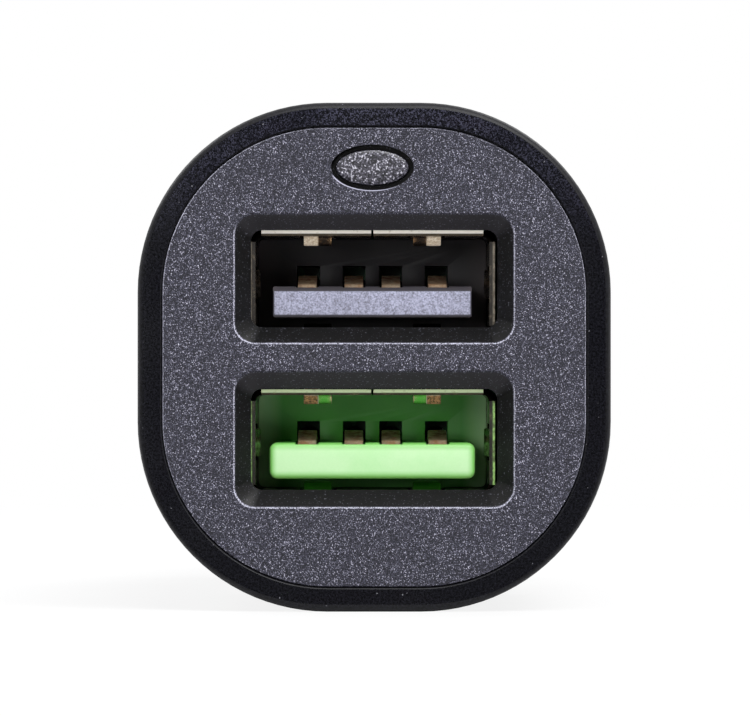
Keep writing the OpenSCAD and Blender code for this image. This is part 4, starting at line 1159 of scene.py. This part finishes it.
# %% Shells: the fingers
# Their outer halves are rubbed rough, and painted pale in the upper port, as painted light, and brown in the
# lower one
behind_mouth = (y, mouth_y + 1.1, mouth_y + 1.3)
beside_finger = away_from(tree, aside, finger_x + finger_w / 4)
on_fingers = zone(tree, (beside_finger, 0.42, 0.36), behind_mouth, (above, 0, 0.2))
chafed = zone(tree, (grain(tree, 0.12, detail=3, rough=0.7), 0.4, 0.62))
worn = painted(tree, painted(tree, "#b98a5c", (chafed, "#3c3a22")),
               (is_upper, painted(tree, "#f6ead6", (chafed, "#cdb797"))))

# Their inner halves are painted with the port's reflection: bright on the fingers above the plug, and dim on
# those below it
finger_edge = finger_w / 2 + 0.05
whole_finger = zone(tree, (away_from(tree, aside, finger_x), finger_edge + 0.05, finger_edge), behind_mouth)
plated = painted(tree, plated,
                 (zone(tree, (above, -0.2, 0.2), high=whole_finger),
                  painted(tree, "#f4f6ea", (is_upper, "#b3a48f"))),
                 (zone(tree, (above, 0.2, -0.2), high=whole_finger),
                  painted(tree, "#5c7a4c", (is_upper, "#26211b"))))
rough = add_node(tree, "Math", {"operation": "MAXIMUM", 0: on_fingers, 1: on_edge})
surface(tree, painted(tree, plated, (on_edge, edge), (on_fingers, worn)),
        zone(tree, (rough, 0, 1), low=0.26, high=0.75), zone(tree, (rough, 0, 1), low=1.0, high=0.15),
        relief=(lines, 0.006, 0.5))

# %% [markdown]
# The contacts are phosphor bronze with a flash of gold that has worn brown where plugs rub. The side
# contacts are spring steel with a bright plating. Their strip was rolled before it was bent, so its lines
# run along the plug, and sockets have left dull rubs on the bow.

# %% Contacts: gold-flashed bronze and plated spring steel
tree = new_material("bronze_gold_flash", contact_strips, "#c79a5c", 0.35, metallic=1.0)
worn = grain(tree, 0.4, detail=3)
surface(tree, painted(tree, "#f2dcc0", (zone(tree, (worn, 0.4, 0.65)), "#c79c78")),
        zone(tree, (worn, 0.3, 0.7), low=0.42, high=0.6))

tree = new_material("spring_steel_plated", side_strips, "#cfcdc8", 0.28, metallic=1.0)
lines = grain(tree, 0.1, detail=3, stretch=(1, 0.08, 1))
rubs = grain(tree, 1.2, detail=3, stretch=(1, 0.4, 1))
surface(tree, painted(tree, "#d6d4cf", (zone(tree, (rubs, 0.5, 0.85)), "#bdb8ac")),
        zone(tree, (rubs, 0.35, 0.7), low=0.2, high=0.36), relief=(lines, 0.005, 0.6))

# %% [markdown]
# The nose cap is black ABS with a fine mould texture, 0.2 mm across, that gives a grip and hides marks. Its
# colour is a little paler where hands have rubbed it.

# %% Nose cap: textured black ABS
tree = new_material("black_abs_textured", [cap_piece], "#17171a", 0.5, ior=abs_ior)
texture = grain(tree, 0.2, detail=3)
marks = grain(tree, 1.5, detail=3)
surface(tree, painted(tree, "#131316", (zone(tree, (marks, 0.5, 0.8)), "#2b2b30")),
        zone(tree, (texture, 0.3, 0.7), low=0.42, high=0.6), relief=(texture, 0.02, 0.7))


# %% [markdown]
# The centre contact is turned from brass and nickel plated, so its tool's lines run around it: their noise
# depends only on the distance from the plug's axis and the place along it. The spring cup is drawn from
# brass, and its lines run along the plug. The spring is drawn wire with a film of oil.

# %% Turned and drawn metal
def around_axis(tree, size_mm):
    """Fine lines around the plug's axis, about size_mm apart."""
    place = add_node(tree, "TexCoord", output="Object")
    x, y, z = [add_node(tree, "SeparateXYZ", {0: place}, axis) for axis in "XYZ"]
    flat = add_node(tree, "CombineXYZ", {0: x, 1: z})
    reach = add_node(tree, "VectorMath", {"operation": "LENGTH", 0: flat}, "Value")
    rings = add_node(tree, "CombineXYZ", {0: reach, 1: y})
    return add_node(tree, "TexNoise", {"Vector": rings, "Scale": 1 / (size_mm * mm), "Detail": 2.0})


tree = new_material("brass_nickel_plated", [tip_piece], "#d0cbc0", 0.25, metallic=1.0)
tarnish = grain(tree, 1.0, detail=4)
surface(tree, painted(tree, "#d6d1c6", (zone(tree, (tarnish, 0.5, 0.85)), "#b9ad98")),
        zone(tree, (tarnish, 0.3, 0.7), low=0.18, high=0.32), relief=(around_axis(tree, 0.12), 0.008, 0.6))

tree = new_material("brass_drawn", solids("spring_cup"), "#c9a45c", 0.32, metallic=1.0)
drawing = grain(tree, 0.12, detail=3, stretch=(1, 0.1, 1))
tarnish = grain(tree, 0.8, detail=4)
surface(tree, painted(tree, "#cda85f", (zone(tree, (tarnish, 0.45, 0.75)), "#8d6a3a")),
        zone(tree, (tarnish, 0.3, 0.7), low=0.24, high=0.45), relief=(drawing, 0.006, 0.5))

tree = new_material("spring_wire_drawn", [spring_piece], "#b9b9bb", 0.3, metallic=1.0)
oil = grain(tree, 0.6, detail=3)
surface(tree, painted(tree, "#bfbfc1", (zone(tree, (oil, 0.45, 0.7)), "#77726a")),
        zone(tree, (oil, 0.3, 0.7), low=0.24, high=0.4), relief=(grain(tree, 0.08), 0.004, 0.5))

# %% [markdown]
# Inside are two boards and their parts. The boards are glass-epoxy under green solder mask. The glass weave,
# half a millimetre across, shows through it as a faint relief, and the copper under it as paler fields.

# %% Boards: glass epoxy with solder mask
epoxy_ior, weave_mm = 1.5, 0.5
tree = new_material("solder_mask_green", solids("front_board", "main_board"), "#1d5c36", 0.35,
                    ior=epoxy_ior)
copper = grain(tree, 2.2, detail=0)
threads = []
for axis in "XY":
    turns = add_node(tree, "Math", {"operation": "MULTIPLY", 0: along(tree, axis), 1: 2 * math.pi / weave_mm})
    threads.append(add_node(tree, "Math", {"operation": "SINE", 0: turns}))
weave = add_node(tree, "Math", {"operation": "MULTIPLY", 0: threads[0], 1: threads[1]})
surface(tree, painted(tree, "#164a2b", (zone(tree, (copper, 0.5, 0.52)), "#2b7a48")),
        relief=(weave, 0.006, 0.4))

# %% [markdown]
# The packages on the boards are moulded epoxy, pressed iron powder, sleeved and bare aluminium cans, and
# small ceramic chips. Each gets the grain of its own process.

# %% Board parts: moulded, pressed, sleeved and drawn
packages = solids("upper_converter_chip", "lower_converter_chip", "charge_control_chip", "upper_diode",
                  "lower_diode")
tree = new_material("epoxy_moulding_compound", packages, "#1e1e20", 0.55, ior=1.55)
filler = grain(tree, 0.12, detail=3)
surface(tree, painted(tree, "#19191b", (zone(tree, (filler, 0.35, 0.7)), "#2c2c2f")),
        relief=(filler, 0.01, 0.6))

tree = new_material("pressed_iron_powder", solids("upper_inductor", "lower_inductor"), "#3a3a3f", 0.5,
                    metallic=0.6)
powder = grain(tree, 0.1, detail=3, rough=0.7)
surface(tree, painted(tree, "#2b2b2f", (zone(tree, (powder, 0.35, 0.7)), "#64646a")),
        zone(tree, (powder, 0.3, 0.7), low=0.4, high=0.65), relief=(powder, 0.015, 0.7))

tree = new_material("pvc_sleeve_dark_blue", solids("input_capacitor"), "#16203c", 0.3, ior=1.54)
shrink = grain(tree, 0.8)
surface(tree, painted(tree, "#141d38", (zone(tree, (shrink, 0.4, 0.7)), "#202c4e")),
        zone(tree, (shrink, 0.3, 0.7), low=0.22, high=0.38), relief=(shrink, 0.01, 0.3))

tree = new_material("aluminium_drawn_can", solids("upper_output_capacitor", "lower_output_capacitor"),
                    "#c6c9cd", 0.32, metallic=1.0)
drawn = grain(tree, 0.1, detail=3, stretch=(1, 1, 0.1))
surface(tree, painted(tree, "#b9bcc0", (zone(tree, (drawn, 0.3, 0.7)), "#d2d4d7")),
        zone(tree, (drawn, 0.3, 0.7), low=0.26, high=0.42), relief=(drawn, 0.005, 0.5))

# %% Board parts: the lamp, whose front half is its clear yellow dome
tree = new_material("lamp_package_white", solids("status_led"), "#e9e4cf", 0.3, ior=epoxy_ior)
low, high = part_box("status_led")
lamp_middle = (low[1] + high[1]) / 2 / mm
in_dome = zone(tree, (along(tree, "Y"), lamp_middle, lamp_middle - 0.1))
dome = painted(tree, "#d8cf8e", (zone(tree, (grain(tree, 0.3), 0.4, 0.7)), "#c2b56a"))
surface(tree, painted(tree, "#f0ece0", (in_dome, dome)), relief=(grain(tree, 0.15), 0.005, 0.4))

# %% Board parts: the fuse, a ceramic body with a metal cap at each end
cap_len = 0.8
tree = new_material("fuse_ceramic_capped", solids("fuse"), "#e6e0d2", 0.4)
low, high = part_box("fuse")
spans = [high[i] - low[i] for i in range(3)]
longest = spans.index(max(spans))
fuse_middle, cap_start = (low[longest] + high[longest]) / 2 / mm, spans[longest] / 2 / mm - cap_len
capped = zone(tree, (away_from(tree, along(tree, "XYZ"[longest]), fuse_middle), cap_start, cap_start + 0.05))
glaze = painted(tree, "#e9e4d8", (zone(tree, (grain(tree, 0.3), 0.4, 0.7)), "#d8d0be"))
surface(tree, painted(tree, glaze, (capped, "#cfcbc2")), metallic=capped,
        relief=(grain(tree, 0.15), 0.006, 0.4))

# %% Board parts: small ceramic capacitors, and resistors with a dark film on their flat sides
tree = new_material("ceramic_chip_tan", solids("ceramic_capacitors"), "#b58e62", 0.4)
fired = grain(tree, 0.15, detail=3)
surface(tree, painted(tree, "#b08859", (zone(tree, (fired, 0.35, 0.7)), "#c9a67c")),
        relief=(fired, 0.008, 0.5))

tree = new_material("resistor_film_on_ceramic", solids("resistors"), "#1b1b1d", 0.35)
film = zone(tree, (away_from(tree, facing(tree, "Z"), 0), 0.4, 0.6))
surface(tree, painted(tree, "#dcd8cf", (film, "#18181a")), relief=(grain(tree, 0.12), 0.006, 0.4))

# %% [markdown]
# A measured solid that a modelled piece stands for is hidden, and it wears the same finish as its piece.

# %% The same finishes for the solids behind the pieces
for name, piece in standing.items():
    wear(piece.data.materials[0], nodes[name])
print(len(standing), "solids share their piece's finish, of", len(nodes))

# %% The scene's bounds
low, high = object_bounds()
